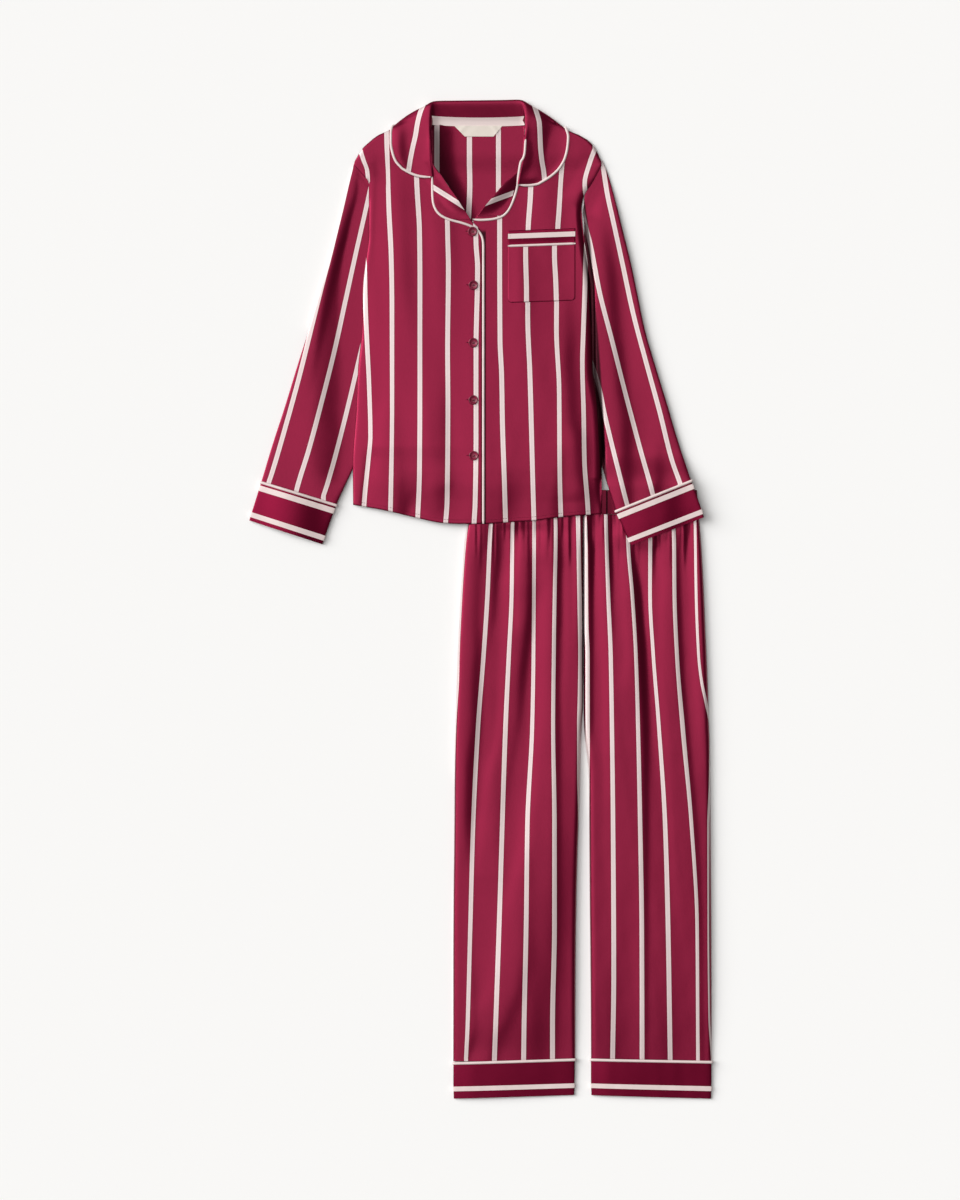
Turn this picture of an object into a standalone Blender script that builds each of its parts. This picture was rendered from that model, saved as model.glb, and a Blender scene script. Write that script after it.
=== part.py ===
# A child's pyjama set laid flat: a button-front shirt, its hem and its left cuff over the waist of
# a pair of straight trousers.  Left and right are the wearer's.
# Tables are in millimetres and meshes in metres.  The wearer's right is at -X, the collar at +Y,
# and the set lies on z = 0.

import math
from collections import namedtuple

import bpy
import bmesh
from mathutils import Vector

# ---- driving sizes, millimetres ----
MM = 0.001                  # one table unit in metres
CLOTH = 1.2                 # wall of one layer of cloth
TRIM = 1.0                  # wall of ribbon tape, pocket band and label
GAP = 0.3                   # air between neighbouring pieces
PIPING = 2.6                # width of the piping that shows
TAPE = 5.8                  # width of the ribbon tape on cuffs, hems and pocket
BUTTON_RADIUS = 5.5
BUTTON_HEIGHT = 2.4
WAIST_HEIGHT = 6.6          # the flattened waistband, both layers and the air in it
WAIST_WALL = 1.7            # doubled cloth round the elastic
SHIRT_RISE = 7.3            # how far the shirt and left cuff are raised where the trousers lie under them
SLEEVE_RISE = 4.2           # how far the body is raised where the right sleeve lies under it
COLLAR_RISE = 1.85          # how far the shirt is raised over the collar's hidden back leaf
PLACKET_RISE = 1.9          # how far the right front is raised over the left
NECK_ROLL = 2.6             # how far the fronts rise towards the neck edge
SMOOTH_ANGLE = math.radians(50)
UPWARD = Vector((0, 0, 1))

SATIN = ("satin", (0.27, 0.016, 0.05), 0.38)
IVORY = ("ivory_satin", (0.76, 0.70, 0.65), 0.45)
SHINE = ("button_plastic", (0.20, 0.010, 0.035), 0.22)

Edge = namedtuple("Edge", "y left right")
Fold = namedtuple("Fold", "y_start x_start y_end x_end half_width depth head")
Ring = namedtuple("Ring", "outer_x outer_y inner_x inner_y height inner_height")
Station = namedtuple("Station", "seam_x seam_y seam_z roll_x roll_y roll_z edge_x edge_y edge_z drop bow")


# ---- small tools ----

def smooth_step(value, start, end):
    share = min(1.0, max(0.0, (value - start) / (end - start)))
    return share * share * (3.0 - 2.0 * share)


def mix(first, second, share):
    return first + (second - first) * share


class Curve:
    """A smooth curve through (place, value) pairs that never overshoots them."""

    def __init__(self, pairs):
        ordered = sorted(pairs)
        self.places = [place for place, _ in ordered]
        self.values = [value for _, value in ordered]
        widths = [b - a for a, b in zip(self.places, self.places[1:])]
        rises = [b - a for a, b in zip(self.values, self.values[1:])]
        slopes = [rise / width for rise, width in zip(rises, widths)]
        self.tangents = [slopes[0]]
        for before, after in zip(slopes, slopes[1:]):
            turning = before * after <= 0
            self.tangents.append(0.0 if turning else 2 * before * after / (before + after))
        self.tangents.append(slopes[-1])

    def __call__(self, place):
        place = min(self.places[-1], max(self.places[0], place))
        index = 0
        while index < len(self.places) - 2 and place > self.places[index + 1]:
            index += 1
        width = self.places[index + 1] - self.places[index]
        t = (place - self.places[index]) / width
        start, end = self.values[index], self.values[index + 1]
        leave, arrive = self.tangents[index] * width, self.tangents[index + 1] * width
        return ((2 * t ** 3 - 3 * t ** 2 + 1) * start + (t ** 3 - 2 * t ** 2 + t) * leave
                + (3 * t ** 2 - 2 * t ** 3) * end + (t ** 3 - t ** 2) * arrive)


def table_curve(rows, place, value):
    return Curve([(getattr(row, place), getattr(row, value)) for row in rows])


def fold_depth(folds, x, y):
    """How far the troughs of a fold table lower the cloth at a point."""
    total = 0.0
    for fold in folds:
        share = (y - fold.y_start) / (fold.y_end - fold.y_start)
        if not -0.05 < share < 1.05:
            continue
        offset = (x - mix(fold.x_start, fold.x_end, share)) / fold.half_width
        fade_in = 1.0 if fold.head else smooth_step(share, -0.05, 0.3)
        fade_out = 1.0 - smooth_step(share, 0.35, 1.05)
        total += fold.depth * math.exp(-offset * offset) * fade_in * fade_out
    return total


def above_zero(value, softness=0.6):
    return 0.5 * (value + math.sqrt(value * value + softness * softness))


# ---- from points to solids ----

def add_solid(name, points, faces, finish):
    mesh = bpy.data.meshes.new(name)
    mesh.from_pydata([Vector(point) * MM for point in points], [], faces)
    work = bmesh.new()
    work.from_mesh(mesh)
    bmesh.ops.recalc_face_normals(work, faces=work.faces)
    bmesh.ops.triangulate(work, faces=work.faces)
    work.to_mesh(mesh)
    work.free()
    mesh.shade_smooth()
    mesh.set_sharp_from_angle(angle=SMOOTH_ANGLE)
    mesh.materials.append(finish_material(finish))
    solid = bpy.data.objects.new(name, mesh)
    bpy.context.scene.collection.objects.link(solid)
    return solid


def finish_material(finish):
    name, colour, roughness = finish
    material = bpy.data.materials.get(name)
    if material is None:
        material = bpy.data.materials.new(name)
        material.use_nodes = True
        shader = material.node_tree.nodes["Principled BSDF"]
        shader.inputs["Base Color"].default_value = (*colour, 1.0)
        shader.inputs["Roughness"].default_value = roughness
        shader.inputs["Metallic"].default_value = 0.0
    return material


def wall_between(name, outer, inner, finish, closed=False):
    """A solid wall between two grids of points; closed grids wrap round, like a tube."""
    rows, columns = len(outer), len(outer[0])
    points = [point for row in outer for point in row] + [point for row in inner for point in row]
    shift = rows * columns

    def out(row, column):
        return row * columns + column % columns

    def back(row, column):
        return shift + out(row, column)

    faces = []
    last = columns if closed else columns - 1
    for row in range(rows - 1):
        for column in range(last):
            corners = [(row, column), (row, column + 1), (row + 1, column + 1), (row + 1, column)]
            faces.append([out(*corner) for corner in corners])
            faces.append([back(*corner) for corner in reversed(corners)])
    for row in (0, rows - 1):
        for column in range(last):
            ends = [(row, column), (row, column + 1)]
            faces.append([out(*ends[0]), back(*ends[0]), back(*ends[1]), out(*ends[1])])
    if not closed:
        for column in (0, columns - 1):
            for row in range(rows - 1):
                ends = [(row, column), (row + 1, column)]
                faces.append([out(*ends[0]), out(*ends[1]), back(*ends[1]), back(*ends[0])])
    return add_solid(name, points, faces, finish)


def panel_grid(outline, heights, across, hem=None):
    """Rows of (x, y) between an outline's left and right edges; hem moves points up."""
    left = table_curve(outline, "y", "left")
    right = table_curve(outline, "y", "right")
    bend = hem or (lambda x, y: 0.0)
    return [[(x, y + bend(x, y)) for x in across(left(y), right(y))] for y in heights]


def even(parts):
    return lambda left, right: [mix(left, right, step / parts) for step in range(parts + 1)]


def lay_panel(name, grid, bottom, wall, finish):
    """A layer of cloth over a grid of (x, y), its underside at bottom(x, y)."""
    lower = [[(x, y, bottom(x, y)) for x, y in row] for row in grid]
    upper = [[(x, y, z + wall) for x, y, z in row] for row in lower]
    return wall_between(name, upper, lower, finish)


# ---- how the layers ride over each other ----

def over_trousers(x, y):
    """Rise of the shirt and left sleeve over the trousers' waist."""
    return SHIRT_RISE * smooth_step(x, -78, -20) * (1.0 - smooth_step(y, 148, 205))


def over_sleeve(x, y):
    """Rise of the body's right edge over the right sleeve."""
    inward = x - BODY_LEFT(y)
    along = (1.0 - smooth_step(y, 520, 546)) * smooth_step(y, 128, 160)
    return SLEEVE_RISE * (1.0 - smooth_step(inward, 20, 42)) * along


def over_collar(x, y):
    """Rise of the shoulders and back over the collar's hidden back leaf."""
    return COLLAR_RISE * smooth_step(y, 530, 560)


def back_bottom(x, y):
    return over_trousers(x, y) + over_sleeve(x, y) + over_collar(x, y)


def body_loft(x, y):
    """Air between the shirt's back and fronts, with the fronts' soft troughs."""
    middle = 0.5 * (BODY_LEFT(y) + BODY_RIGHT(y))
    half = 0.5 * (BODY_RIGHT(y) - BODY_LEFT(y))
    across = max(0.0, 1.0 - abs((x - middle) / half) ** 4)
    return above_zero(BODY_LOFT(y) * across - fold_depth(SHIRT_FOLDS, x, y)) - 0.1


def neck_roll(x, y, edge):
    """The fronts rise softly towards the neck edge."""
    near = 1.0 - smooth_step(abs(x - edge(y)), 0, 24)
    return NECK_ROLL * near * smooth_step(y, 477, 500) * (1.0 - smooth_step(y, 570, 592))


def left_front_bottom(x, y):
    return back_bottom(x, y) + CLOTH + GAP + body_loft(x, y) + neck_roll(x, y, LEFT_NECK)


def right_front_bottom(x, y):
    lap = PLACKET_RISE * smooth_step(x, -38, -21) * (1.0 - smooth_step(y, 476, 506))
    return back_bottom(x, y) + CLOTH + GAP + body_loft(x, y) + lap + neck_roll(x, y, RIGHT_NECK)


# ---- the shirt's outline and folds ----

BODY = [
    Edge(610.0, -56.0, 50.0),
    Edge(600.0, -76.0, 68.0),
    Edge(592.0, -91.0, 84.0),
    Edge(588.0, -96.0, 91.0),
    Edge(584.5, -107.0, 103.0),
    Edge(581.0, -124.0, 120.0),
    Edge(572.5, -135.5, 134.0),
    Edge(564.0, -146.0, 142.5),
    Edge(555.0, -152.5, 147.5),
    Edge(545.0, -157.5, 153.0),
    Edge(534.0, -149.0, 148.0),
    Edge(521.0, -139.0, 140.0),
    Edge(505.0, -139.0, 130.0),
    Edge(489.0, -139.0, 127.0),
    Edge(456.0, -139.0, 129.5),
    Edge(425.0, -142.5, 134.0),
    Edge(390.0, -146.0, 139.0),
    Edge(337.5, -147.5, 140.0),
    Edge(287.5, -152.5, 141.0),
    Edge(232.5, -155.0, 149.5),
    Edge(172.5, -159.0, 152.0),
    Edge(95.0, -158.5, 152.0),
]
BODY_LEFT = table_curve(BODY, "y", "left")
BODY_RIGHT = table_curve(BODY, "y", "right")
HEM = Curve([(-159, 119), (-114.5, 111), (-81, 103), (-45.5, 96), (-25, 95), (5, 95), (35, 97),
             (67.5, 99), (97, 103), (125, 105.5), (152, 107.5)])
HEM_LOWEST = 95.0
HEM_BLEND = 90.0


def hem_bend(x, y):
    """How far a row near the shirt's hem moves up to follow its curve."""
    return (HEM(x) - HEM_LOWEST) * (1.0 - smooth_step(y, HEM_LOWEST, HEM_LOWEST + HEM_BLEND))


BODY_LOFT = Curve([(610, 0.2), (560, 0.6), (500, 2.0), (400, 3.0), (250, 2.8), (150, 2.0), (95, 1.4)])
PLACKET_EDGE = 2.5          # where the right front ends, left of the middle
UNDERLAP_EDGE = -17.5       # where the left front ends under it
RIGHT_NECK = Curve([(610, -60), (549, -59.5), (542.5, -57), (530, -48.5), (505, -31), (489, -20.5),
                    (472.5, -9.5), (462.5, 0), (456, PLACKET_EDGE), (95, PLACKET_EDGE)])
LEFT_NECK = Curve([(610, 55), (546, 52), (517.5, 27.5), (492.5, 6.5), (475, -8), (467.5, -14),
                   (456, UNDERLAP_EDGE), (95, UNDERLAP_EDGE)])

SHIRT_FOLDS = [
    Fold(440, 112, 250, 113, 9, 1.6, False),
    Fold(300, 108, 110, 126, 10, 2.0, False),
    Fold(470, -134, 330, -133, 7, 1.2, False),
    Fold(500, 112, 400, 116, 8, 1.4, False),
    Fold(520, -98, 420, -92, 8, 1.0, False),
    Fold(250, -88, 110, -88, 9, 1.4, False),
    Fold(240, -50, 110, -46, 9, 1.2, False),
    Fold(380, 72, 180, 74, 8, 0.9, False),
    Fold(430, 52, 230, 54, 8, 0.7, False),
]

SLEEVE_RIGHT = [
    Ring(-158.0, 543.3, -128.4, 505.6, 3.4, 3.2),
    Ring(-163.5, 524.0, -124.0, 482.5, 4.4, 3.2),
    Ring(-171.0, 492.5, -121.0, 455.0, 5.6, 3.2),
    Ring(-179.5, 457.5, -120.5, 425.0, 6.2, 3.2),
    Ring(-189.0, 420.0, -120.5, 390.0, 6.4, 3.2),
    Ring(-202.0, 379.0, -122.0, 352.5, 6.4, 3.2),
    Ring(-214.0, 337.5, -124.5, 310.0, 6.4, 3.2),
    Ring(-229.0, 290.0, -130.0, 261.0, 6.4, 3.2),
    Ring(-244.0, 241.0, -139.5, 212.5, 6.3, 3.2),
    Ring(-259.0, 195.0, -157.5, 167.5, 6.1, 3.4),
    Ring(-273.0, 148.5, -179.3, 119.8, 5.9, 5.4),
]
SLEEVE_LEFT = [
    Ring(154.6, 541.2, 130.0, 500.0, 3.6, 3.4),
    Ring(161.0, 520.0, 128.6, 484.6, 4.8, 3.8),
    Ring(170.0, 492.5, 130.2, 464.0, 5.8, 4.2),
    Ring(179.0, 461.0, 134.2, 435.0, 6.3, 4.4),
    Ring(187.5, 425.0, 138.9, 400.0, 6.4, 4.4),
    Ring(196.0, 385.0, 140.9, 362.5, 6.4, 4.4),
    Ring(206.0, 337.5, 141.7, 316.0, 6.4, 4.4),
    Ring(219.0, 292.5, 145.9, 271.0, 6.4, 4.4),
    Ring(235.0, 242.5, 151.6, 225.0, 6.3, 4.6),
    Ring(245.0, 207.5, 153.8, 191.0, 6.2, 5.0),
    Ring(255.0, 175.0, 158.6, 152.5, 6.0, 5.2),
    Ring(263.2, 150.0, 169.2, 112.2, 5.9, 5.4),
]
SLEEVE_FOLDS = [
    Fold(480, -160, 120, -186, 9, 1.8, False),
    Fold(330, -198, 150, -238, 8, 1.0, False),
    Fold(520, 154, 250, 176, 7, 1.8, False),
    Fold(330, 172, 110, 186, 8, 1.8, False),
    Fold(260, 226, 130, 254, 8, 1.2, False),
]
# a cuff runs from its seam with the sleeve to its open end
CUFF_RIGHT = [
    Ring(-273.3, 147.4, -179.5, 118.8, 5.9, 5.5),
    Ring(-281.0, 123.0, -188.6, 94.0, 5.8, 5.4),
    Ring(-288.3, 99.4, -196.9, 69.6, 5.2, 4.8),
]
CUFF_LEFT = [
    Ring(263.6, 149.0, 169.6, 111.2, 5.9, 5.5),
    Ring(272.0, 126.0, 179.0, 89.0, 5.8, 5.4),
    Ring(279.6, 103.4, 187.9, 68.0, 5.2, 4.8),
]
CUFF_LENGTH = 48.5

# from the wearer's right front, behind the neck, to the left front
COLLAR = [
    Station(-57.4, 528.5, 6.0, -58.6, 529.0, 9.4, -98.0, 540.0, 4.7, 1.2, 3.4),
    Station(-57.6, 537.0, 6.4, -58.9, 538.0, 10.3, -106.0, 549.0, 4.9, 1.2, 2.2),
    Station(-57.8, 550.0, 6.9, -59.1, 551.5, 11.2, -110.0, 559.5, 5.6, 1.2, 1.0),
    Station(-57.8, 566.0, 7.2, -59.3, 567.5, 12.0, -112.0, 571.5, 5.9, 1.2, 0.0),
    Station(-57.4, 582.0, 6.8, -59.4, 585.0, 12.5, -110.8, 581.5, 5.8, 1.3, 0.0),
    Station(-56.6, 591.5, 5.8, -59.2, 600.0, 12.8, -109.0, 587.6, 5.2, 1.6, -1.0),
    Station(-55.2, 597.5, 4.8, -58.4, 618.5, 13.0, -107.0, 590.0, 3.1, 2.2, -3.6),
    Station(-52.5, 599.8, 4.0, -55.5, 621.4, 13.1, -100.0, 585.0, 0.66, 6.0, -1.5),
    Station(-46.0, 600.6, 3.9, -49.0, 622.6, 13.2, -74.0, 573.5, 0.66, 10.0, 0.0),
    Station(-30.0, 600.8, 3.9, -31.0, 623.2, 13.3, -38.0, 570.0, 0.66, 12.0, 0.0),
    Station(-1.0, 600.8, 3.9, -1.0, 623.4, 13.4, -1.0, 569.0, 0.66, 12.0, 0.0),
    Station(28.0, 600.8, 3.9, 29.0, 623.8, 13.3, 36.0, 570.0, 0.66, 12.0, 0.0),
    Station(42.0, 600.6, 3.9, 44.5, 624.0, 13.2, 70.0, 573.5, 0.66, 10.0, 0.0),
    Station(48.0, 599.8, 4.0, 50.5, 623.2, 13.1, 98.0, 583.5, 0.66, 6.0, 1.0),
    Station(50.8, 597.5, 4.8, 54.0, 620.0, 13.0, 106.5, 588.4, 3.1, 2.2, 2.6),
    Station(52.3, 591.5, 5.8, 56.2, 606.0, 12.8, 108.8, 585.4, 5.2, 1.6, 1.0),
    Station(52.6, 582.0, 6.8, 56.6, 591.0, 12.5, 110.8, 577.5, 5.8, 1.3, 0.0),
    Station(51.6, 566.0, 7.2, 54.6, 571.0, 12.0, 110.0, 566.5, 5.9, 1.2, 0.0),
    Station(49.8, 552.0, 6.9, 52.8, 555.0, 11.3, 107.0, 553.0, 5.6, 1.2, -0.5),
    Station(48.2, 538.0, 6.4, 50.6, 541.0, 10.5, 99.5, 539.5, 4.9, 1.2, -1.0),
    Station(47.2, 528.0, 6.1, 49.0, 529.5, 9.9, 88.0, 529.0, 4.7, 1.2, -1.0),
    Station(46.6, 520.5, 6.0, 47.9, 521.0, 9.4, 74.0, 521.0, 4.6, 1.2, -1.2),
]

LAPEL_RIGHT = [
    Edge(533.0, -53.8, -50.6),
    Edge(527.0, -54.6, -46.4),
    Edge(522.0, -56.4, -43.2),
    Edge(516.0, -56.0, -39.2),
    Edge(505.0, -54.4, -31.4),
    Edge(494.0, -50.8, -24.2),
    Edge(486.0, -46.4, -19.0),
    Edge(480.0, -40.5, -15.0),
    Edge(475.5, -31.0, -12.4),
]
LAPEL_LEFT = [
    Edge(524.0, 33.0, 42.0),
    Edge(517.5, 27.7, 43.4),
    Edge(505.0, 17.7, 40.8),
    Edge(492.5, 6.9, 37.0),
    Edge(485.0, 1.0, 32.0),
    Edge(480.0, -3.2, 25.0),
]
BUTTONS = [(-9.5, 460.0), (-8.5, 393.0), (-8.5, 321.0), (-8.5, 249.5), (-8.0, 180.0)]

# the chest pocket: its lower left corner, width, height and slight tilt
POCKET_LEFT = 34.8
POCKET_RIGHT = 119.0
POCKET_TOP = 462.6
POCKET_BOTTOM = 372.6
POCKET_SLOPE = 3.2          # how much higher its left-hand corners lie (wearer's left)
POCKET_BAND = 18.5          # depth of the plain band across its top
POCKET_TAPE_DROP = 5.2      # from the pocket's top to the tape

# ---- the trousers' outline and folds ----

LEG_RIGHT = [
    Edge(107.0, -13.0, 129.0),
    Edge(100.0, -14.5, 129.0),
    Edge(87.5, -17.0, 129.0),
    Edge(69.0, -19.6, 129.0),
    Edge(44.0, -21.2, 129.0),
    Edge(12.5, -23.4, 129.0),
    Edge(-25.0, -25.4, 129.0),
    Edge(-75.0, -27.5, 129.0),
    Edge(-132.5, -29.2, 127.5),
    Edge(-156.0, -30.0, 124.5),
    Edge(-192.5, -31.0, 123.0),
    Edge(-250.0, -31.2, 121.0),
    Edge(-312.5, -31.6, 119.5),
    Edge(-375.0, -32.3, 118.0),
    Edge(-450.0, -32.5, 117.0),
    Edge(-576.0, -32.5, 116.6),
]
LEG_LEFT = [
    Edge(107.0, 129.3, 272.5),
    Edge(100.0, 129.3, 273.8),
    Edge(87.5, 129.3, 275.0),
    Edge(69.0, 129.3, 276.4),
    Edge(44.0, 129.3, 278.0),
    Edge(12.5, 129.3, 279.6),
    Edge(-25.0, 129.3, 281.2),
    Edge(-75.0, 129.3, 283.4),
    Edge(-132.5, 129.4, 285.6),
    Edge(-156.0, 129.9, 286.2),
    Edge(-175.0, 131.5, 286.6),
    Edge(-192.5, 134.0, 286.8),
    Edge(-219.0, 137.0, 287.0),
    Edge(-250.0, 137.6, 287.2),
    Edge(-312.5, 138.0, 287.6),
    Edge(-375.0, 138.2, 288.0),
    Edge(-450.0, 138.6, 288.4),
    Edge(-576.0, 139.2, 288.5),
]
LEG_HEIGHTS = [107, 100, 90, 78, 62, 42, 16, -20, -60, -105, -140, -165, -200, -250, -310, -375, -440,
               -510, -575]
LEG_LOFT = Curve([(107, 3.5), (70, 3.7), (20, 3.9), (-60, 4.0), (-300, 4.0), (-450, 3.8), (-576, 2.8)])
LEG_COLUMNS = 25
LEG_HEM_Y = -575.0

# the gathers under the waistband, then the long soft folds down the legs
GATHERS = [
    Fold(107.5, -5.0, 62.0, -7.0, 4.5, 2.2, True),
    Fold(107.5, 8.0, 30.0, 6.0, 5.0, 2.4, True),
    Fold(107.5, 24.0, -60.0, 14.0, 5.5, 2.8, True),
    Fold(107.5, 39.0, 55.0, 39.0, 4.5, 2.0, True),
    Fold(107.5, 53.5, 40.0, 54.0, 4.5, 2.2, True),
    Fold(107.5, 68.0, 50.0, 66.0, 5.5, 2.4, True),
    Fold(107.5, 85.0, 30.0, 82.0, 5.0, 2.4, True),
    Fold(107.5, 99.0, -80.0, 97.5, 5.5, 3.0, True),
    Fold(107.5, 113.0, 45.0, 112.0, 4.5, 2.2, True),
    Fold(107.5, 137.5, -90.0, 140.0, 4.5, 2.4, True),
    Fold(107.5, 149.0, 60.0, 149.0, 4.5, 2.2, True),
    Fold(107.5, 161.0, -40.0, 168.0, 5.0, 2.6, True),
    Fold(107.5, 174.0, 55.0, 176.0, 4.5, 2.0, True),
    Fold(107.5, 186.0, 60.0, 188.0, 4.5, 2.0, True),
    Fold(107.5, 204.0, 50.0, 204.0, 5.0, 2.2, True),
    Fold(107.5, 219.0, 15.0, 221.0, 5.0, 2.4, True),
    Fold(107.5, 233.5, 40.0, 235.0, 4.5, 2.2, True),
    Fold(107.5, 246.5, -60.0, 252.0, 5.0, 2.8, True),
    Fold(107.5, 259.5, 38.0, 260.5, 4.5, 2.2, True),
]
LEG_FOLDS = [
    Fold(105.0, 2.0, -330.0, -17.0, 10, 3.2, False),
    Fold(105.0, 63.0, -240.0, 38.0, 10, 4.6, False),
    Fold(60.0, 98.0, -260.0, 87.0, 9, 3.2, False),
    Fold(-200.0, 88.0, -570.0, 79.0, 9, 2.8, False),
    Fold(-240.0, 101.0, -520.0, 102.0, 7, 2.0, False),
    Fold(-380.0, 30.0, -570.0, 24.0, 10, 1.8, False),
    Fold(60.0, 138.0, -160.0, 142.0, 6, 2.4, False),
    Fold(100.0, 194.0, -330.0, 208.0, 10, 5.4, False),
    Fold(-240.0, 207.0, -572.0, 214.0, 9, 3.0, False),
    Fold(60.0, 249.0, -290.0, 267.0, 9, 3.6, False),
    Fold(-280.0, 263.0, -572.0, 266.0, 8, 2.4, False),
    Fold(-360.0, 279.0, -572.0, 280.0, 5, 1.4, False),
]

HEM_BAND_RIGHT = [
    Ring(-31.6, -576.6, 115.9, -575.4, 5.4, 5.4),
    Ring(-31.8, -600.0, 115.8, -598.0, 5.4, 5.4),
    Ring(-31.0, -624.2, 115.4, -619.8, 5.0, 5.0),
]
HEM_BAND_LEFT = [
    Ring(287.6, -576.6, 139.8, -575.4, 5.4, 5.4),
    Ring(287.6, -600.0, 139.8, -597.5, 5.4, 5.4),
    Ring(287.0, -624.4, 140.4, -620.2, 5.0, 5.0),
]
HEM_BAND_LENGTH = 46.8
WAIST = [
    Ring(-14.6, 137.2, 271.0, 137.2, WAIST_HEIGHT - 0.4, WAIST_HEIGHT - 0.4),
    Ring(-14.0, 122.0, 272.0, 122.0, WAIST_HEIGHT, WAIST_HEIGHT),
    Ring(-13.0, 107.4, 272.6, 107.4, WAIST_HEIGHT - 0.2, WAIST_HEIGHT - 0.2),
]


# ---- flattened tubes ----

# places across a tube's upper side, from its outer side to its inner one
TUBE_PLACES = [1, 0.97, 0.9, 0.8, 0.65, 0.45, 0.22, 0, -0.22, -0.45, -0.65, -0.8, -0.9, -0.97, -1]
TUBE_POWER = 3.4            # above 2, the tube's sides are blunter than an ellipse's


def under_body(x, y):
    """Share by which the right sleeve is pressed down, at and inside the body's edge."""
    return smooth_step(x - BODY_LEFT(y), -26, -9) * smooth_step(y, 128, 160)


def tube_line(ring, lift, grow, floor, folds=(), press=None):
    """Points over the top of a flattened tube, from its outer side to its inner side."""
    outer = Vector((ring.outer_x, ring.outer_y))
    inner = Vector((ring.inner_x, ring.inner_y))
    middle = (outer + inner) / 2
    half = (outer - inner) / 2
    reach = (half.length + grow) / half.length
    line = []
    for across in TUBE_PLACES:
        up = (1 - abs(across) ** TUBE_POWER) ** (1 / TUBE_POWER)
        place = middle + half * (across * reach)
        low = press(place.x, place.y) if press else smooth_step(-across, -0.5, 0.8)
        height = mix(ring.height, ring.inner_height, low)
        height -= min(fold_depth(folds, place.x, place.y) * up, height - 3.1)
        line.append((place.x, place.y, lift(place.x, place.y) + floor + (height + grow - floor) * up))
    return line


def ring_at(rings, share):
    """A ring between those of a table, at a share of its length."""
    scaled = share * (len(rings) - 1)
    index = min(int(scaled), len(rings) - 2)
    return Ring(*[mix(a, b, scaled - index) for a, b in zip(rings[index], rings[index + 1])])


def flat_tube(name, rings, wall, finish, lift, folds=(), press=None):
    outer = [tube_line(ring, lift, 0.0, 0.0, folds, press) for ring in rings]
    inner = [tube_line(ring, lift, -wall, wall, folds, press) for ring in rings]
    return wall_between(name, outer, inner, finish, closed=True)


def strap_round(name, rings, start, end, wall, finish, lift, reach=GAP):
    """A strip round the top and sides of a flattened tube, between two shares of its length."""
    shares = [start, end]
    inner = [tube_line(ring_at(rings, share), lift, reach, GAP) for share in shares]
    outer = [tube_line(ring_at(rings, share), lift, reach + wall, GAP) for share in shares]
    return wall_between(name, outer, inner, finish)


def flat_on_table(x, y):
    return 0.0


# ---- surfaces with a wall on both sides, and strips along their edges ----

def surface_normals(grid):
    rows, columns = len(grid), len(grid[0])
    normals = []
    for row in range(rows):
        line = []
        for column in range(columns):
            along = grid[min(row + 1, rows - 1)][column] - grid[max(row - 1, 0)][column]
            across = grid[row][min(column + 1, columns - 1)] - grid[row][max(column - 1, 0)]
            line.append(along.cross(across).normalized())
        normals.append(line)
    return normals


def thicken(name, grid, wall, finish):
    pairs = [list(zip(line, normals)) for line, normals in zip(grid, surface_normals(grid))]
    outer = [[tuple(point + normal * wall / 2) for point, normal in line] for line in pairs]
    inner = [[tuple(point - normal * wall / 2) for point, normal in line] for line in pairs]
    return wall_between(name, outer, inner, finish)


def sideways(path, normals, index):
    along = path[min(index + 1, len(path) - 1)] - path[max(index - 1, 0)]
    return along.cross(normals[index]).normalized()


def beside(path, normals, distance):
    """A path moved to its right-hand side, in the surface that the normals give."""
    return [point + sideways(path, normals, index) * distance for index, point in enumerate(path)]


def piping_strip(name, path, normals, finish):
    """A strip with a low crown, centred on a path."""
    upper, lower = [], []
    for index, point in enumerate(path):
        side = sideways(path, normals, index) * PIPING / 2
        up = normals[index] * CLOTH / 2
        upper.append([tuple(point - side + up * 0.7), tuple(point + up), tuple(point + side + up * 0.7)])
        lower.append([tuple(point - side - up), tuple(point - up), tuple(point + side - up)])
    return wall_between(name, upper, lower, finish)


# ---- the pieces of the shirt ----

NEAR_SLEEVE = [0, 9, 18, 25, 32, 39, 47]     # columns over the hidden sleeve, from the body's right edge


def sleeve_side(rest_parts):
    """Columns close together over the hidden sleeve, then even ones."""
    def across(left, right):
        rest = right - left - NEAR_SLEEVE[-1]
        even_part = [left + NEAR_SLEEVE[-1] + rest * step / rest_parts for step in range(1, rest_parts + 1)]
        return [left + step for step in NEAR_SLEEVE] + even_part
    return across


SHIRT_HEIGHTS = [600, 592, 588, 584.5, 579, 568, 556, 545, 538, 530, 521, 511, 500, 488, 474, 460, 440, 400,
                 350, 300, 250, 214, 196, 180, 164, 148, 128, 110, 95]


def make_back():
    grid = panel_grid(BODY, SHIRT_HEIGHTS, sleeve_side(9), hem_bend)
    lay_panel("shirt_back", grid, back_bottom, CLOTH, SATIN)


def make_fronts():
    right_edges = [Edge(y, BODY_LEFT(y), RIGHT_NECK(y)) for y in SHIRT_HEIGHTS]
    grid = panel_grid(right_edges, SHIRT_HEIGHTS[1:], sleeve_side(6), hem_bend)
    lay_panel("shirt_front_right", grid, right_front_bottom, CLOTH, SATIN)
    left_edges = [Edge(y, LEFT_NECK(y), BODY_RIGHT(y)) for y in SHIRT_HEIGHTS]
    grid = panel_grid(left_edges, SHIRT_HEIGHTS[1:], even(11), hem_bend)
    lay_panel("shirt_front_left", grid, left_front_bottom, CLOTH, SATIN)


# places along the collar's table, closer together where it turns under at each shoulder
COLLAR_PLACES = [0, 1, 2, 3, 4, 5, 5.5, 6, 6.5, 7, 8, 9, 10, 11, 12, 13, 13.5, 14, 14.5, 15, 16, 17, 18, 19,
                 20, 21]
LEAF_SHARES = [0.05, 0.11, 0.2, 0.35, 0.55, 0.78, 1.0]


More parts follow.
